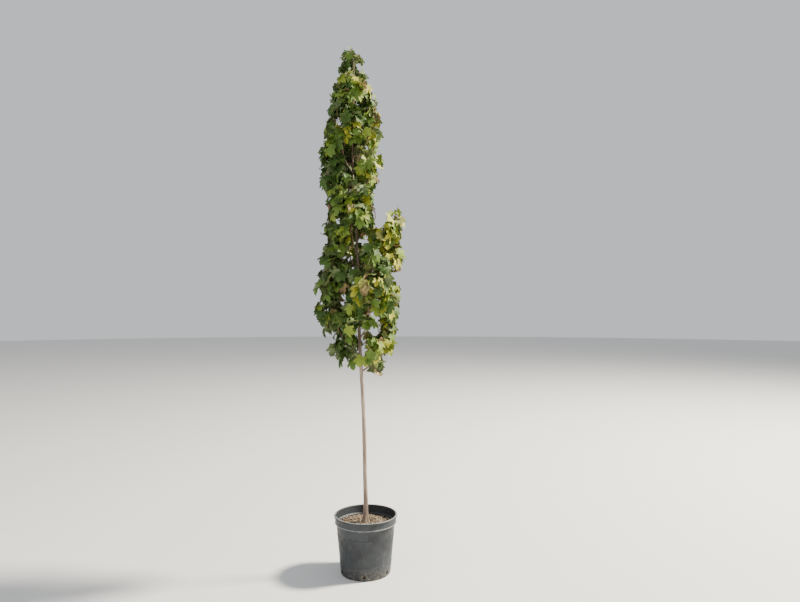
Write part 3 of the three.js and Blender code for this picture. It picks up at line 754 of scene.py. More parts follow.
def swept(path, radii, sides, kind=0, relief=None):
    """A limb of rings along a path, closed by a point at its tip."""
    last = len(path) - 1
    ahead = [
        (path[min(i + 1, last)] - path[max(i - 1, 0)]).normalized() for i in range(len(path))
    ]
    across = squared(ahead[0])
    spots = []
    for i, point in enumerate(path):
        across = (across - ahead[i] * across.dot(ahead[i])).normalized()
        beside = ahead[i].cross(across)
        for side in range(sides):
            angle = 2 * math.pi * side / sides
            radius = radii[i] + (relief(i, angle) if relief else 0)
            spots.append(point + (across * math.cos(angle) + beside * math.sin(angle)) * radius)
    spots.append(path[-1] + ahead[-1] * radii[-1])
    fan = end_fan(last * sides, sides, len(spots) - 1, False)
    faces = ring_faces(len(path), sides)
    triangles = np.concatenate([faces[:, [0, 1, 2]], faces[:, [0, 2, 3]], fan])
    return (spots, triangles, kind)


def smoothed(path, first_heading, steps):
    """More points on a smooth line through the points of a path."""
    ways = [first_heading * (path[1] - path[0]).length]
    ways += [(path[i + 1] - path[i - 1]) / 2 for i in range(1, len(path) - 1)]
    ways.append(path[-1] - path[-2])
    points = []
    for i in range(len(path) - 1):
        for step in range(steps):
            t = step / steps
            point = path[i] * (2 * t**3 - 3 * t**2 + 1) + ways[i] * (t**3 - 2 * t**2 + t)
            point = point + path[i + 1] * (3 * t**2 - 2 * t**3)
            points.append(point + ways[i + 1] * (t**3 - t**2))
    return [*points, path[-1]]


bough_parts = []
for index, bough in enumerate(boughs):
    thick = bough["foot_radius"]
    radii = []
    for i, point in enumerate(bough["curve"]):
        outside = max(0, (point - bough["foot"]).length - trunk_radius(point.z))
        collar = COLLAR_SWELL * math.exp(-outside / COLLAR_REACH)
        radii.append(thick * (mix(1, BOUGH_TIP_SHARE, i / BOUGH_STEPS) + collar))

    def knobby(i, angle, index=index, thick=thick):
        around = level_way(angle) + UP * (i * 0.45 + index * 5)
        return thick * KNOBS * noise.noise(around * 1.3)

    bough_parts.append(swept(bough["curve"], radii, BOUGH_SIDES, 0, knobby))

brown_bark, tree, shader = finish("brown_bough_bark", 0.75, Specular_IOR_Level=0.32)
grain = clouds(tree, 90, 5)
share = between(tree, grain, 0.34, 0.68)
colour = blended(tree, share, (0.115, 0.072, 0.045), (0.34, 0.265, 0.19))
flecks = between(tree, clouds(tree, 330, 3), 0.6, 0.68)
colour = stained(tree, colour, flecks, 0.5, (0.44, 0.36, 0.27))
put(tree, shader.inputs["Base Color"], colour)
bumps(tree, shader, grain, 0.0011, 0.9)
bough_bark = joined("bough_bark", bough_parts, [brown_bark])
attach(bough_bark, "root")
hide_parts(*[f"bough_{i + 1:02d}" for i in range(BOUGHS)])

# The shoots. A long shoot goes on from the tip of each bough and from the top of the trunk, and
# eight short ones stand on the trunk itself. Twigs leave them in pairs, thinner at each step.
SPRIGS = 8
LOWEST_SPRIG = 1.475
HIGHEST_SPRIG = 3.08
SPRIG_LENGTH = 0.15
SPRIG_RADIUS = 0.0032
SPRIG_SIDES_TRIED = 16
LEADER_LENGTH = 0.285
# The solid trunk's rings: the leader goes on the way that the last two of them point.
TRUNK_RINGS = 16
RING_CROWDING = 1.8
SHOOT_TIP = 0.0013
TWIG_SHARE_OF_STEM = 0.55
TWIG_TURNS = 14
TWIG_OUTWARD = 0.4
TWIG_FORWARD = 0.7
TWIG_LEAST_SHARE = 0.55
TWIG_END_INSIDE = 0.045
TWIG_MIDDLE_INSIDE = 0.03
# Where leaves part, as seen from the front: how far right of the trunk, how high, half as wide and
# half as high as this, and whether there is sky behind instead of the trunk.
OPENINGS = [
    (0.0, 2.29, 0.03, 0.085, False),
    (0.01, 1.6, 0.032, 0.12, False),
    (0.0, 2.86, 0.03, 0.05, False),
    (0.175, 2.56, 0.045, 0.17, True),
    (-0.1, 2.46, 0.024, 0.04, True),
    (0.1, 2.1, 0.022, 0.03, True),
    (-0.11, 1.9, 0.022, 0.035, True),
    (0.11, 1.68, 0.022, 0.035, True),
    (0.08, 2.98, 0.02, 0.04, True),
    (-0.09, 3.14, 0.022, 0.035, True),
]
# The leaves stop at this share of the crown's outline at the most, and this far from the trunk.
MOST_OF_OUTLINE = 0.94
LEAVES_OFF_TRUNK = 0.011
LEAVES_UNDER_TOP = 0.02
# The leader's own leaves stand closer than those of the masses around it.
LEADER_FROM = 3.4
LEADER_SHARE = 0.6
# Twigs are missing more often above this height.
SPARSER_FROM = 2.2


def distance_to_path(point, path):
    """How near a point lies to a path of straight steps."""
    least = math.inf
    for start, end in zip(path, path[1:]):
        way = end - start
        share = min(1, max(0, (point - start).dot(way) / way.length_squared))
        least = min(least, (start + way * share - point).length)
    return least


def plan_sprig(index):
    """A short shoot straight on the trunk, on the side that the boughs leave most open."""
    roll = dice(301 + index)
    share = index / (SPRIGS - 1)
    height = mix(LOWEST_SPRIG, HIGHEST_SPRIG, share) + spread(roll, 0.012)
    foot = trunk_middle(height)
    length = SPRIG_LENGTH * mix(1.1, 0.8, share)
    best = (0, 0, UP)
    for i in range(SPRIG_SIDES_TRIED):
        azimuth = (i + roll() * 0.5) * 2 * math.pi / SPRIG_SIDES_TRIED
        outward = level_way(azimuth)
        middle = foot + outward * length * 0.75 + UP * 0.05
        room = min(
            distance_to_path(middle, path)
            for bough in boughs
            for path in (bough["curve"][::6], bough["stem"])
        )
        if room > best[0]:
            best = (room, azimuth, outward)
    heading = (best[2] + UP * 0.35).normalized()
    lean = (best[2] + UP * 0.8).normalized()
    return {
        "name": f"sprig_{index + 1:02d}",
        "azimuth": best[1],
        "stem": stem_path(foot, heading, lean, length, roll),
        "thick": SPRIG_RADIUS * 1.3,
        "heading": heading,
    }


def plan_leader():
    """The shoot that carries the trunk on to the top of the tree."""
    foot = SOIL_TOP + GAP
    before = mix(foot, TRUNK_END, ((TRUNK_RINGS - 1) / TRUNK_RINGS) ** RING_CROWDING)
    heading = (trunk_middle(TRUNK_END) - trunk_middle(before)).normalized()
    start = trunk_middle(TRUNK_END) + heading * GAP
    return {
        "name": "leader_foliage",
        "azimuth": 0,
        "stem": stem_path(start, heading, UP, LEADER_LENGTH, dice(401)),
        "thick": trunk_radius(TRUNK_END),
        "heading": heading,
    }


sprigs = [plan_sprig(i) for i in range(SPRIGS)]
leader = plan_leader()
masses = [*boughs, *sprigs, leader]
# Each mass has the shares of its stem where twigs leave it, their length, and how far apart its
# pairs of leaves are. The turn of each pair of twigs follows from its place in the row.
fill_roll = dice(801)
for mass in masses:
    mass["fill"] = mix(LEAST_FILL, 1, fill_roll())
    mass["twigs"] = [0.05, 0.16, 0.31, 0.46, 0.6, 0.74, 0.87]
    mass["twig_length"] = 0.155
    mass["internode"] = 0.033
for sprig in sprigs:
    sprig["twigs"] = [0.3, 0.55, 0.8]
    sprig["twig_length"] = 0.075
# The leader's lowest pair is left out, and the rest keep their turns.
leader["twigs"] = [None, 0.1, 0.22, 0.35, 0.47, 0.6, 0.8]
leader["twig_length"] = 0.095
leader["internode"] = 0.031


def ramp(value, start, length):
    """A number that climbs from 0 at the start to 1 one length further on."""
    return min(1, max(0, (value - start) / length))


def in_crown(point, share=1.0, edge=0.0):
    """True inside this share of the crown's lumpy outline, out of the openings and off the trunk."""
    middle = trunk_middle(point.z)
    x, y = point.x - middle.x, point.y - middle.y
    far = math.hypot(x, y)
    around = Vector((x / (far + 0.01), y / (far + 0.01), point.z * 5.2)) * 1.35
    lumpy_share = min(share * (0.97 + 0.18 * noise.noise(around)), MOST_OF_OUTLINE)
    limit = crown_reach(point.z, math.atan2(y, x)) * lumpy_share
    limit *= mix(1, LEADER_SHARE, ramp(point.z, LEADER_FROM, 0.3))
    if point.z > TREE_TOP - LEAVES_UNDER_TOP or far > limit + edge:
        return False
    for right, height, half_wide, half_high, sky in OPENINGS:
        from_opening = ((x - right) / half_wide) ** 2 + ((point.z - height) / half_high) ** 2
        if (sky or y < 0) and from_opening < 1:
            return False
    clear_of_trunk = far > trunk_radius(min(point.z, TRUNK_END)) + LEAVES_OFF_TRUNK
    return clear_of_trunk or point.z > TRUNK_END


def rotated(direction, axis, angle):
    """A direction turned about an axis."""
    return Matrix.Rotation(angle, 3, axis) @ direction


def away_from_trunk(point):
    """The level direction from the trunk's middle to a point."""
    middle = trunk_middle(point.z)
    away = Vector((point.x - middle.x, point.y - middle.y, 0))
    return away.normalized() if away.length > 1e-6 else Vector((1, 0, 0))


def along_path(path, share):
    """The place and heading at a share of a smooth line."""
    at = share * (len(path) - 1)
    step = min(len(path) - 2, int(at))
    return path[step].lerp(path[step + 1], at - step), (path[step + 1] - path[step]).normalized()


def grow_twig(point, heading, turn, length, share, roll, lift):
    """A side twig's smooth path, or None if it finds no room inside the crown."""
    away = away_from_trunk(point)
    for attempt in range(TWIG_TURNS):
        loose = attempt / TWIG_TURNS
        direction = rotated(squared(heading), heading, turn + spread(roll, 0.2 + 1.2 * loose))
        direction = (direction + away * TWIG_OUTWARD + heading * TWIG_FORWARD).normalized()
        reach = length * mix(1, TWIG_LEAST_SHARE, loose)
        end = point + direction * reach + UP * reach * lift
        end_fits = in_crown(end, share, -TWIG_END_INSIDE)
        if end_fits and in_crown(point.lerp(end, 0.6), share, -TWIG_MIDDLE_INSIDE):
            bend = point.lerp(end, 0.5) - UP * reach * lift * 0.3
            bend += squared(direction) * spread(roll, reach * 0.05)
            return smoothed([point, bend, end], direction, 3)
    return None


def length_of(path):
    """The length of a path of straight steps."""
    return sum((b - a).length for a, b in zip(path, path[1:]))


TWIG_INTERNODE = 0.018
SPUR_INTERNODE = 0.019
SPUR_TIP = SHOOT_TIP * 0.8
LEAST_SPURRED = 0.085
TWIG_SPURS = (0.42, 0.72)
TWIG_SPUR_LENGTH = 0.042
BOUGH_SPURS = (0.3, 0.5, 0.7, 0.9)
# Height and azimuth in degrees, where 180 is the photograph's left.
TRUNK_SPURS = [(1.45, 205), (1.5, 330), (1.53, 160), (1.58, 20), (1.62, 215), (1.68, 300), (1.76, 150)]
SPUR_SHARE = 0.9
shoots = []


def add_shoot(mass, rank, path, foot, tip, internode, share):
    """Notes a shoot, the radii of its foot and tip, and how near the outline its leaves may come."""
    shoots.append(
        {
            "rank": rank,
            "path": path,
            "foot": foot,
            "tip": tip,
            "length": length_of(path),
            "internode": internode,
            "share": share,
            "mass": mass,
        }
    )


def add_spur(mass, point, heading, turn, length, share, roll, lift, foot=SHOOT_TIP):
    """Grows a short leafy spur where there is room for it."""
    spur = grow_twig(point, heading, turn, length, share, roll, lift)
    if spur is not None:
        add_shoot(mass, 2, spur, foot, SPUR_TIP, SPUR_INTERNODE, share)


for index, mass in enumerate(masses):
    roll = dice(901 + index)
    stem = smoothed(mass["stem"], mass["heading"], 6)
    reach = mass["fill"] * 1.15
    add_shoot(mass, 0, stem, mass["thick"], SHOOT_TIP * 1.2, mass["internode"], reach)
    for step, at in enumerate(mass["twigs"]):
        if at is None:
            continue
        for half in (0, math.pi):
            long = mass["twig_length"] * mix(1.1, 0.6, at) * mix(0.62, 1.25, roll())
            # Leaves stop short of the outline by a different share on every twig.
            share = mass["fill"] * mix(0.86, 1.3, roll() ** 1.6)
            turn = mass["azimuth"] + half + (step - 1) * math.pi / 4
            point, heading = along_path(stem, min(0.97, at + spread(roll, 0.015)))
            missing = roll() < mix(0.06, 0.16, ramp(point.z, SPARSER_FROM, 0.3))
            twig = grow_twig(point, heading, turn, long, share, roll, mix(0.05, 0.3, roll()))
            if missing or twig is None:
                continue
            thick = max(mix(mass["thick"], SHOOT_TIP, at) * TWIG_SHARE_OF_STEM, SHOOT_TIP * 1.1)
            add_shoot(mass, 1, twig, thick, SHOOT_TIP, TWIG_INTERNODE, share)
            # Finer twigs stand on the longer ones.
            if length_of(twig) < LEAST_SPURRED:
                continue
            for spur_at in TWIG_SPURS:
                point, heading = along_path(twig, spur_at)
                turn = roll() * 2 * math.pi
                add_spur(mass, point, heading, turn, TWIG_SPUR_LENGTH, share, roll, 0.1)

# Short leafy spurs stand on the boughs themselves, and low on the trunk under the first boughs.
for index, bough in enumerate(boughs):
    roll = dice(1301 + index)
    for at in BOUGH_SPURS:
        point, heading = along_path(bough["curve"], at)
        turn, length = roll() * 2 * math.pi, mix(0.05, 0.085, roll())
        add_spur(bough, point, heading, turn, length, SPUR_SHARE, roll, 0.05, SHOOT_TIP * 1.3)
roll = dice(1401)
for height, azimuth in TRUNK_SPURS:
    turn, length = math.radians(azimuth), mix(0.075, 0.11, roll())
    point = trunk_middle(height)
    add_spur(None, point, UP, turn, length, SPUR_SHARE, roll, 0.15, SHOOT_TIP * 1.4)

# One stem rises at the edge of the opening on the upper right. It keeps to the side with leaves.
NOTCH_BOUGH = 8
NOTCH_START = 2.5
NOTCH_EDGE = 0.108
NOTCH_PULL = 0.85
for shoot in shoots:
    if shoot["mass"] is not boughs[NOTCH_BOUGH]:
        continue
    for point in shoot["path"]:
        beyond = point.x - trunk_middle(point.z).x - NOTCH_EDGE
        if beyond > 0:
            point.x -= beyond * NOTCH_PULL * ramp(point.z, NOTCH_START, 0.09)

SHOOT_SIDES = (9, 6, 5)
TWIG_FOOT_SWELL = 1.35
shoot_parts = []
for shoot in shoots:
    path, rank = shoot["path"], shoot["rank"]
    radii = []
    for i in range(len(path)):
        share = i / (len(path) - 1)
        radii.append(mix(shoot["foot"], shoot["tip"], share**0.8))
    if rank > 0:
        radii[0] *= TWIG_FOOT_SWELL
    shoot_parts.append(swept(path, radii, SHOOT_SIDES[rank], min(rank, 1)))

mass_nodes = [mass["name"] for mass in masses]


def shoot_finish(name, pale, deep, roughness):
    """Young bark in patches of two colours, with paler specks."""
    made, tree, shader = finish(name, roughness, Specular_IOR_Level=0.4)
    share = between(tree, clouds(tree, 24, 4), 0.35, 0.68)
    colour = blended(tree, share, deep, pale)
    specks = between(tree, clouds(tree, 480, 2), 0.6, 0.66)
    colour = stained(tree, colour, specks, 0.4, (0.42, 0.34, 0.24))
    put(tree, shader.inputs["Base Color"], colour)
    bumps(tree, shader, clouds(tree, 260, 3), 0.0006, 0.7)
    return made


shoot_bark = shoot_finish("brown_shoot_bark", (0.25, 0.165, 0.095), (0.115, 0.062, 0.038), 0.62)
twig_bark = shoot_finish("red_brown_twig_bark", (0.27, 0.155, 0.075), (0.15, 0.055, 0.035), 0.5)
leafy_shoots = joined("shoots_and_twigs", shoot_parts, [shoot_bark, twig_bark])
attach(leafy_shoots, "root")
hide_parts(*mass_nodes)

# The leaves. They hang in opposite pairs on long stalks. Each has five toothed lobes that spread
# from the top of the stalk like fingers, a dull green upper face and a silvery underside.
LOBE_TIP = (0.58, 0.59)
BASE_TIP = (0.02, 0.49)
# Half the outline of a leaf one unit long, from its stalk round two lobes to its tip, and the
# points along its veins and between them. Its thickness is a share of its length too.
HALF_LEAF = [
    (0.0, 0.0), (-0.07, 0.07), (-0.1, 0.2), (-0.09, 0.36), (-0.02, 0.4), BASE_TIP,
    (0.1, 0.43), (0.21, 0.37), (0.3, 0.48), (0.38, 0.48), (0.43, 0.55), LOBE_TIP,
    (0.59, 0.48), (0.64, 0.43), (0.56, 0.37), (0.51, 0.25), (0.6, 0.26), (0.65, 0.31),
    (0.7, 0.24), (0.78, 0.24), (0.8, 0.16), (0.88, 0.13), (0.9, 0.06), (1.0, 0.0),
]
MIDRIB = [(0.15, 0), (0.32, 0), (0.5, 0), (0.68, 0), (0.86, 0)]
LOBE_VEIN = [(0.19, 0.195), (0.385, 0.392)]
BASE_VEIN = [(0.011, 0.25)]
BETWEEN_VEINS = [(0.26, 0.12), (0.17, 0.27), (0.62, 0.12)]
LEAF_THICK = 0.0035


def mirrored(points):
    """The same points on the other side of the midrib."""
    return [(x, -y) for x, y in points]


def leaf_template():
    """A flat leaf one unit long, cut in triangles along its veins."""
    outline = HALF_LEAF + mirrored(HALF_LEAF[1:-1])[::-1]
    spots = [Vector(point) for point in outline]
    edges = []
    lobe, base = HALF_LEAF.index(LOBE_TIP), HALF_LEAF.index(BASE_TIP)
    veins = [
        (MIDRIB, len(HALF_LEAF) - 1),
        (LOBE_VEIN, lobe),
        (BASE_VEIN, base),
        (mirrored(LOBE_VEIN), len(outline) - lobe),
        (mirrored(BASE_VEIN), len(outline) - base),
    ]
    for points, end in veins:
        last = 0
        for point in points:
            spots.append(Vector(point))
            edges.append((last, len(spots) - 1))
            last = len(spots) - 1
        edges.append((last, end))
    spots += [Vector(point) for point in BETWEEN_VEINS + mirrored(BETWEEN_VEINS)]
    cut = delaunay_2d_cdt(spots, edges, [list(range(len(outline)))], 1, 1e-5)
    flat = np.array([tuple(point) for point in cut[0]])
    faces = np.array(cut[2])
    a, b, c = flat[faces[:, 0]], flat[faces[:, 1]], flat[faces[:, 2]]
    turned_over = (b - a)[:, 0] * (c - a)[:, 1] - (b - a)[:, 1] * (c - a)[:, 0] < 0
    faces[turned_over] = faces[turned_over][:, ::-1]
    return flat, faces


leaf_flat, leaf_faces = leaf_template()
leaf_vein_lines = [((0, 0), (1, 0))]
for end in (LOBE_TIP, BASE_TIP):
    leaf_vein_lines += [((0, 0), end), ((0, 0), (end[0], -end[1]))]


def vein_distance(points):
    """How far each point of the flat leaf lies from its nearest vein."""
    found = np.full(len(points), 9.0)
    for start, end in leaf_vein_lines:
        start, way = np.array(start), np.subtract(end, start)
        share = np.clip((points - start) @ way / (way @ way), 0, 1)
        found = np.minimum(found, np.linalg.norm(points - start - share[:, None] * way, axis=1))
    return found


def leaf_form(fold, droop, cup, wave, twist, phase):
    """The upper and lower points of one leaf: folded at its midrib, drooping, cupped and waved."""
    x, y = leaf_flat[:, 0], leaf_flat[:, 1]
    far = vein_distance(leaf_flat)
    z = 0.05 * (1 - np.exp(-far / 0.045)) * 0.5 + np.abs(y) * math.tan(fold)
    z = z - cup * (y**2) + wave * np.sin(11 * x + phase) * np.abs(y)
    z = z + wave * np.cos(9 * y + 2 * phase) * 0.5 * far * 4 + twist * x * y
    z[0] = 0
    bend = max(abs(droop), 1e-3) * math.copysign(1, droop)
    along = np.sin(bend * x) * (1 / bend + z)
    upward = np.cos(bend * x) * (1 / bend + z) - 1 / bend
    upper = np.stack([along, y * math.cos(fold), upward], axis=1)
    a, b, c = (upper[leaf_faces[:, corner]] for corner in range(3))
    facing = np.zeros_like(upper)
    for corner in range(3):
        np.add.at(facing, leaf_faces[:, corner], np.cross(b - a, c - a))
    facing /= np.linalg.norm(facing, axis=1)[:, None]
    rim = np.zeros(len(upper), dtype=bool)
    rim[: 2 * len(HALF_LEAF) - 2] = True
    lower = upper - facing * np.where(rim, 0.0, LEAF_THICK)[:, None]
    return upper, lower


LIVING_FORMS = 9
DRIED_FORMS = 3
roll = dice(41)
leaf_forms = []
for i in range(LIVING_FORMS):
    fold, droop = mix(-0.05, 0.5, roll()), mix(0.3, 1.35, roll())
    cup, wave = mix(-0.1, 0.5, roll()), mix(0.01, 0.055, roll())
    leaf_forms.append(leaf_form(fold, droop, cup, wave, spread(roll, 0.25), roll() * 6))
for i in range(DRIED_FORMS):
    fold, droop = mix(0.5, 0.8, roll()), mix(1.6, 2.4, roll())
    leaf_forms.append(leaf_form(fold, droop, 0.9, 0.12, spread(roll, 0.5), roll() * 6))

LEAF_LONGEST = 0.09
LEAF_SHORTEST = 0.048
STALK_LONGEST = 0.074
STALK_SHORTEST = 0.03
# Leaves get smaller above this height.
SMALLER_FROM = 3.2
# This share of them shows its underside.
SHARE_TURNED_OVER = 0.12
LEAF_TRIES = 5
CLEAR_OF_LEAVES = 0.0085
# Leaves that hang already are looked for in cells of this size.
SEARCH_CELL = 0.025
# Marks on a leaf that have to lie inside the crown. The first six also keep clear of other leaves.
MARKS_KEPT_CLEAR = 6
LEAF_MARKS = [
    (0.98, 0), (0.56, 0.56), (0.56, -0.56), (0.5, 0), (0.25, 0.2), (0.25, -0.2),
    (0.03, 0.43), (0.03, -0.43),
]
NEXT_CELLS = [(x, y, z) for x in (-1, 0, 1) for y in (-1, 0, 1) for z in (-1, 0, 1)]
taken = {}


def cell_of(point):
    return tuple(int(distance // SEARCH_CELL) for distance in point)


def room_for(marks):
    """True if no leaf that hangs already comes too close to the new one."""
    for mark in marks:
        x, y, z = cell_of(mark)
        for step in NEXT_CELLS:
            for other in taken.get((x + step[0], y + step[1], z + step[2]), ()):
                if (other - mark).length < CLEAR_OF_LEAVES:
                    return False
    return True


def hang_leaf(shoot, share, turn, roll):
    """One leaf on its stalk, turned until it finds room. It is left out if it never does."""
    point, heading = along_path(shoot["path"], share)
    away = away_from_trunk(point)
    high = max(0, (point.z - SMALLER_FROM) / (TREE_TOP - SMALLER_FROM))
    size = mix(LEAF_SHORTEST, LEAF_LONGEST, roll() ** 0.8) * mix(1, 0.66, high)
    size *= mix(1, 0.8, share) if shoot["rank"] == 0 else 1
    stalk = mix(STALK_SHORTEST, STALK_LONGEST, roll()) * size / LEAF_LONGEST
    share_of_crown = shoot["share"] * mix(0.78, 1.1, roll())
    for attempt in range(LEAF_TRIES):
        loose = attempt / LEAF_TRIES
        out = rotated(squared(heading), heading, turn + spread(roll, 0.3 + 2.6 * loose))
        out = (out + heading * 0.5 + away * 0.35 + UP * 0.25).normalized()
        reach = stalk * mix(1, 0.45, loose)
        drop = mix(0.05, 2.3, roll())
        elbow = point + out * reach * 0.6
        end = point + out * reach * 0.92 - UP * reach * 0.16 * drop
        flat_out = Vector((out.x, out.y, 0)) + away * 0.45
        flat_out = rotated(flat_out.normalized(), UP, spread(roll, 1.4 + loose))
        ahead = (flat_out - UP * drop).normalized()
        facing = UP * 0.9 + away * 0.35
        facing += Vector((spread(roll, 0.85), spread(roll, 0.85), spread(roll, 0.5)))
        if roll() < SHARE_TURNED_OVER:
            facing = -facing + away * 0.3
        facing = (facing - ahead * facing.dot(ahead)).normalized()
        left = facing.cross(ahead)
        grown = size * mix(1, 0.78, loose)
        marks = [end + ahead * (x * grown) + left * (y * grown) for x, y in LEAF_MARKS]
        if not all(in_crown(mark, share_of_crown) for mark in marks):
            continue
        if room_for(marks[:MARKS_KEPT_CLEAR]):
            for mark in marks:
                taken.setdefault(cell_of(mark), []).append(mark)
            axes = np.array([tuple(axis * grown) for axis in (ahead, left, facing)])
            stalk_line = (point, elbow, end)
            return {"stalk": stalk_line, "axes": axes, "foot": np.array(tuple(end)), "away": away}
    return None


# Autumn has begun in places. Each shoot of leaves has a warmth of its own, and a few leaves are scorched or
# bronze. On the +X side, towards the sun lamp, leaves are yellower, partly because they turn first there
# and partly as painted sunlight. On the far side they are darker green as painted shade. The colours are
# those of the upper face and where it tires, then of the underside and where it tires.
LEAF_COLOURS = {
    "deep_green": [(0.036, 0.081, 0.009), (0.056, 0.1, 0.012), (0.125, 0.17, 0.066), (0.155, 0.19, 0.075)],
    "mid_green": [(0.074, 0.137, 0.012), (0.105, 0.158, 0.016), (0.175, 0.222, 0.08), (0.205, 0.24, 0.084)],
    "fresh_green": [(0.155, 0.218, 0.016), (0.19, 0.232, 0.02), (0.24, 0.29, 0.09), (0.275, 0.3, 0.09)],
    "yellow_green": [(0.27, 0.285, 0.02), (0.36, 0.305, 0.026), (0.35, 0.35, 0.1), (0.38, 0.345, 0.1)],
    "scorched": [(0.33, 0.265, 0.10), (0.3, 0.22, 0.09), (0.37, 0.31, 0.16), (0.33, 0.25, 0.13)],
    "bronze": [(0.13, 0.085, 0.034), (0.15, 0.07, 0.04), (0.25, 0.20, 0.12), (0.26, 0.16, 0.10)],
}
DYING = ("scorched", "bronze")
SHARE_SCORCHED = 0.024
SHARE_BRONZE = 0.012
SHARE_DYING_UNCURLED = 0.4
# The least warmth, with its painted light, of each living tint, from the warmest.
LIVING_TINTS = (("yellow_green", 0.98), ("fresh_green", 0.72), ("mid_green", 0.36))


def tint_for(leaf, spray, roll):
    """The tint of one leaf, from its shoot's warmth, chance, and painted light by the side it hangs on."""
    chance = roll()
    if chance < SHARE_SCORCHED:
        return "scorched"
    if chance < SHARE_SCORCHED + SHARE_BRONZE:
        return "bronze"
    # Painted light: leaves towards the sun lamp on +X get yellower tints, and those on the far side get
    # darker greens.
    warmth_and_painted_light = 0.94 * spray + 0.3 * leaf["away"].x + spread(roll, 0.28)
    for tint, least in LIVING_TINTS:
        if warmth_and_painted_light > least:
            return tint
    return "deep_green"


dealt = {tint: [] for tint in LEAF_COLOURS}
stalks = []
for index, shoot in enumerate(sorted(shoots, key=lambda shoot: -shoot["rank"])):
    roll = dice(2001 + index)
    spray = roll()
    pairs = max(1, round(shoot["length"] / shoot["internode"]))
    first = 0.12 if shoot["rank"] == 0 else 0.4
    turn = roll() * math.pi
    for pair in range(pairs):
        share = mix(first, 0.99, (pair + 0.5) / pairs if pairs > 1 else 0.9)
        for half in (0, math.pi):
            leaf = hang_leaf(shoot, share, turn + half + pair * math.pi / 2, roll)
            if leaf is None:
                continue
            tint = tint_for(leaf, spray, roll)
            if tint not in DYING or roll() < SHARE_DYING_UNCURLED:
                leaf["form"] = int(roll() * LIVING_FORMS)
            else:
                leaf["form"] = LIVING_FORMS + int(roll() * DRIED_FORMS)
            dealt[tint].append(leaf)
            stalks.append((leaf, tint))


def vector_step(tree, operation, first, second, output=0):
    """One step of arithmetic on two points."""
    made = tree.nodes.new("ShaderNodeVectorMath")
    made.operation = operation
    put(tree, made.inputs[0], first)
    put(tree, made.inputs[1], second)
    return made.outputs[output]


def leaf_veins(tree):
    """How much a place on the flat leaf belongs to a vein, of the main ones or of the fine net."""
    flat = tree.nodes.new("ShaderNodeUVMap")
    flat.uv_map = "flat_leaf"
    half = vector_step(tree, "ABSOLUTE", flat.outputs[0], (0, 0, 0))
    nearest = 1.0
    for tip in ((1, 0), LOBE_TIP, BASE_TIP):
        foot = vector_step(tree, "PROJECT", half, (*tip, 0))
        nearest = sums(tree, "MINIMUM", nearest, vector_step(tree, "DISTANCE", half, foot, "Value"))
    main = between(tree, nearest, 0.003, 0.013, 1, 0)
    net = tree.nodes.new("ShaderNodeTexVoronoi")
    net.feature = "DISTANCE_TO_EDGE"
    net.inputs["Scale"].default_value = 18
    put(tree, net.inputs["Vector"], flat.outputs[0])
    fine = between(tree, net.outputs["Distance"], 0.0, 0.1, 0.3, 0)
    return sums(tree, "MAXIMUM", main, fine)


def leaf_finish(name, colour, tired, roughness, relief):
    """A leaf's face: one colour that tires here and there, with paler veins and their relief."""
    made, tree, shader = finish(name, roughness, Specular_IOR_Level=0.22)
    share = between(tree, clouds(tree, 16, 3), 0.42, 0.75, 0, 0.8)
    blade = blended(tree, share, colour, tired)
    veins = leaf_veins(tree)
    pale = tuple(mix(channel, 0.42 * whiter, 0.3) for channel, whiter in zip(colour, (0.9, 1, 0.6)))
    put(tree, shader.inputs["Base Color"], stained(tree, blade, veins, 0.62, pale))
    grain = sums(tree, "MULTIPLY", clouds(tree, 170, 3), 0.5)
    bumps(tree, shader, sums(tree, "ADD", veins, grain), relief)
    return made


VEINS_SUNK = -0.0006
VEINS_RAISED = 0.0009
scorched_rim = leaf_finish("scorched_rim", (0.23, 0.155, 0.073), (0.165, 0.1, 0.05), 0.8, VEINS_SUNK)
# A scorched or bronze leaf is dead in the triangles far from the middle of its blade.
from_blade_middle = leaf_flat[leaf_faces].mean(axis=1) - np.array([0.2, 0])
in_lobe_ends = np.linalg.norm(from_blade_middle, axis=1) > 0.36
for tint, leaves in dealt.items():
    colour, tired, under, under_tired = LEAF_COLOURS[tint]
    faces_of = [
        leaf_finish(f"{tint}_upper_face", colour, tired, 0.56, VEINS_SUNK),
        leaf_finish(f"{tint}_underside", under, under_tired, 0.66, VEINS_RAISED),
        scorched_rim,
    ]
    rim = in_lobe_ends & (tint in DYING)
    parts = []
    for leaf in leaves:
        upper, lower = (side @ leaf["axes"] + leaf["foot"] for side in leaf_forms[leaf["form"]])
        parts.append((upper, leaf_faces, np.where(rim, 2, 0)))
        parts.append((lower, leaf_faces[:, ::-1], np.where(rim, 2, 1)))
    piece = joined(f"leaves_{tint}", parts, faces_of)
    # Each corner keeps its place on the flat leaf, where the veins are drawn.
    spots_of_corners = np.empty(len(piece.data.loops), dtype=np.int32)
    piece.data.loops.foreach_get("vertex_index", spots_of_corners)
    flat_places = leaf_flat[spots_of_corners % len(leaf_flat)].astype(np.float32)
    piece.data.uv_layers.new(name="flat_leaf").data.foreach_set("uv", flat_places.ravel())
    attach(piece, "root")
    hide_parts(*mass_nodes)

# The leaf stalks and buds. The stalks are thin, tough and springy, yellow-green with a red flush on
# the sunny side, and each has a small pointed bud in the fork where it leaves the twig.
STALK_RADIUS = 0.00085
STALK_SIDES = 4
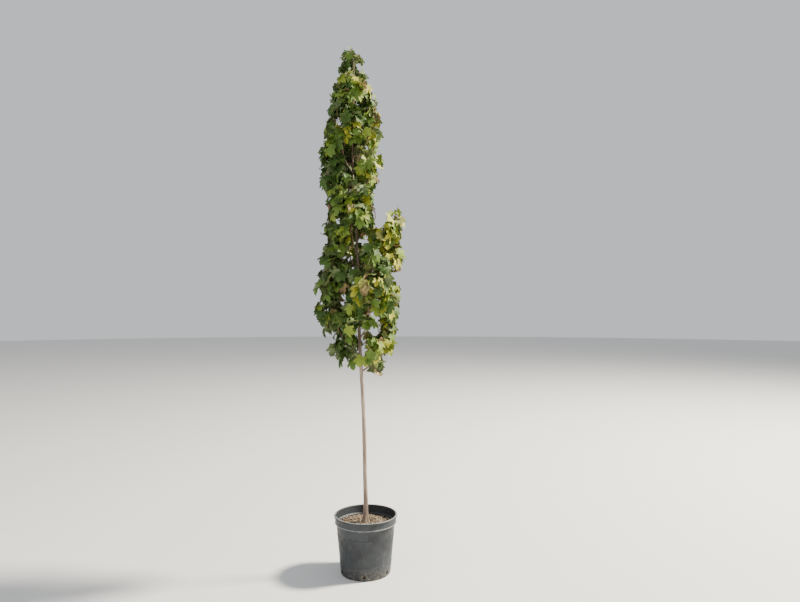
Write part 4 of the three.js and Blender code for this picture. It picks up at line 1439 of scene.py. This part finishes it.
# Where the stalk's rings lie along it, and how wide each is.
STALK_SHARES = (0, 0.3, 0.6, 0.85, 1)
STALK_WIDTHS = (1.7, 1.1, 0.95, 1.0, 1.25)
SUNNY_SIDE = 0.45
BUD_POINT = 0.0003
END_BUD_SIDES = 6
stalk_parts = []
for leaf, tint in stalks:
    start, elbow, end = leaf["stalk"]
    path = bent(start, elbow, end, STALK_SHARES)
    radii = [STALK_RADIUS * width for width in STALK_WIDTHS]
    red = tint in DYING or leaf["away"].x > SUNNY_SIDE
    stalk_parts.append(swept(path, radii, STALK_SIDES, int(red)))
    out = (elbow - start).normalized()
    bud = start + out * 0.0016 + UP * 0.001
    bud_end = bud + (out * 0.4 + UP).normalized() * 0.0045
    path, radii = [bud, bud.lerp(bud_end, 0.45), bud_end], [0.0008, 0.0014, BUD_POINT]
    stalk_parts.append(swept(path, radii, STALK_SIDES, 2))
# A larger bud ends every shoot.
for shoot in shoots:
    bud, thick = shoot["path"][-1], shoot["tip"]
    bud_end = bud + (bud - shoot["path"][-2]).normalized() * (0.004 + 3 * thick)
    path, radii = [bud, bud.lerp(bud_end, 0.4), bud_end], [thick, thick * 1.3, BUD_POINT]
    stalk_parts.append(swept(path, radii, END_BUD_SIDES, 2))
stalk_finishes = [
    shoot_finish("green_leaf_stalk", (0.35, 0.33, 0.11), (0.24, 0.25, 0.07), 0.5),
    shoot_finish("red_leaf_stalk", (0.36, 0.22, 0.10), (0.28, 0.095, 0.05), 0.5),
    shoot_finish("bud_scales", (0.20, 0.075, 0.04), (0.095, 0.035, 0.022), 0.5),
]
leaf_stalks = joined("leaf_stalks_and_buds", stalk_parts, stalk_finishes)
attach(leaf_stalks, "root")
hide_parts(*mass_nodes)

# The studio. A wide pale floor, a large soft lamp high on the right and a little behind for the
# sun, a weak one from the front left, and an even pale surround.
FLOOR_RADIUS = 45
floor_finish, tree, shader = finish("pale_floor", 0.85, Specular_IOR_Level=0.2)
colour = blended(tree, clouds(tree, 2.5, 3), (0.68, 0.67, 0.65), (0.71, 0.7, 0.68))
put(tree, shader.inputs["Base Color"], colour)
bpy.ops.mesh.primitive_circle_add(vertices=96, radius=FLOOR_RADIUS, fill_type="NGON", location=(0, 0, 0))
floor = bpy.context.object
floor.name = "pale_floor"
floor.data.materials.append(floor_finish)


def lamp(name, place_at, target, size, power, colour):
    """A round soft lamp that faces a target, with its size in metres and its power in watts."""
    light = bpy.data.lights.new(name, "AREA")
    light.shape = "DISK"
    light.size = size
    light.energy = power
    light.color = colour
    made = bpy.data.objects.new(name, light)
    bpy.context.scene.collection.objects.link(made)
    made.location = place_at
    made.rotation_euler = (Vector(target) - Vector(place_at)).to_track_quat("-Z", "Y").to_euler()


lamp("sun_lamp", (10.6, 1.9, 11.0), (0, 0, 1.8), 2.4, 9300, (1.0, 0.93, 0.8))
lamp("fill_lamp", (-4.5, -5.5, 3.6), (0, 0, 1.6), 4.0, 110, (0.9, 0.95, 1.0))
surround = bpy.data.worlds.new("pale_surround")
surround.use_nodes = True
background = surround.node_tree.nodes["Background"]
background.inputs["Color"].default_value = (0.88, 0.91, 0.95, 1)
background.inputs["Strength"].default_value = 0.76
bpy.context.scene.world = surround

# The camera. It looks almost level from a grown-up's eye height, as the photograph does, from far
# enough back to take in the pot and the top.
LENS_MM = 27.72
SENSOR_MM = 36
CAMERA_PLACE = (0.24, -4.35, 1.8)
CAMERA_TILT = 91.2
camera_data = bpy.data.cameras.new("camera")
camera_data.lens = LENS_MM
camera_data.sensor_width = SENSOR_MM
camera_data.clip_end = 200
camera = bpy.data.objects.new("camera", camera_data)
bpy.context.scene.collection.objects.link(camera)
camera.location = CAMERA_PLACE
camera.rotation_euler = (math.radians(CAMERA_TILT), 0, 0)
bpy.context.scene.camera = camera
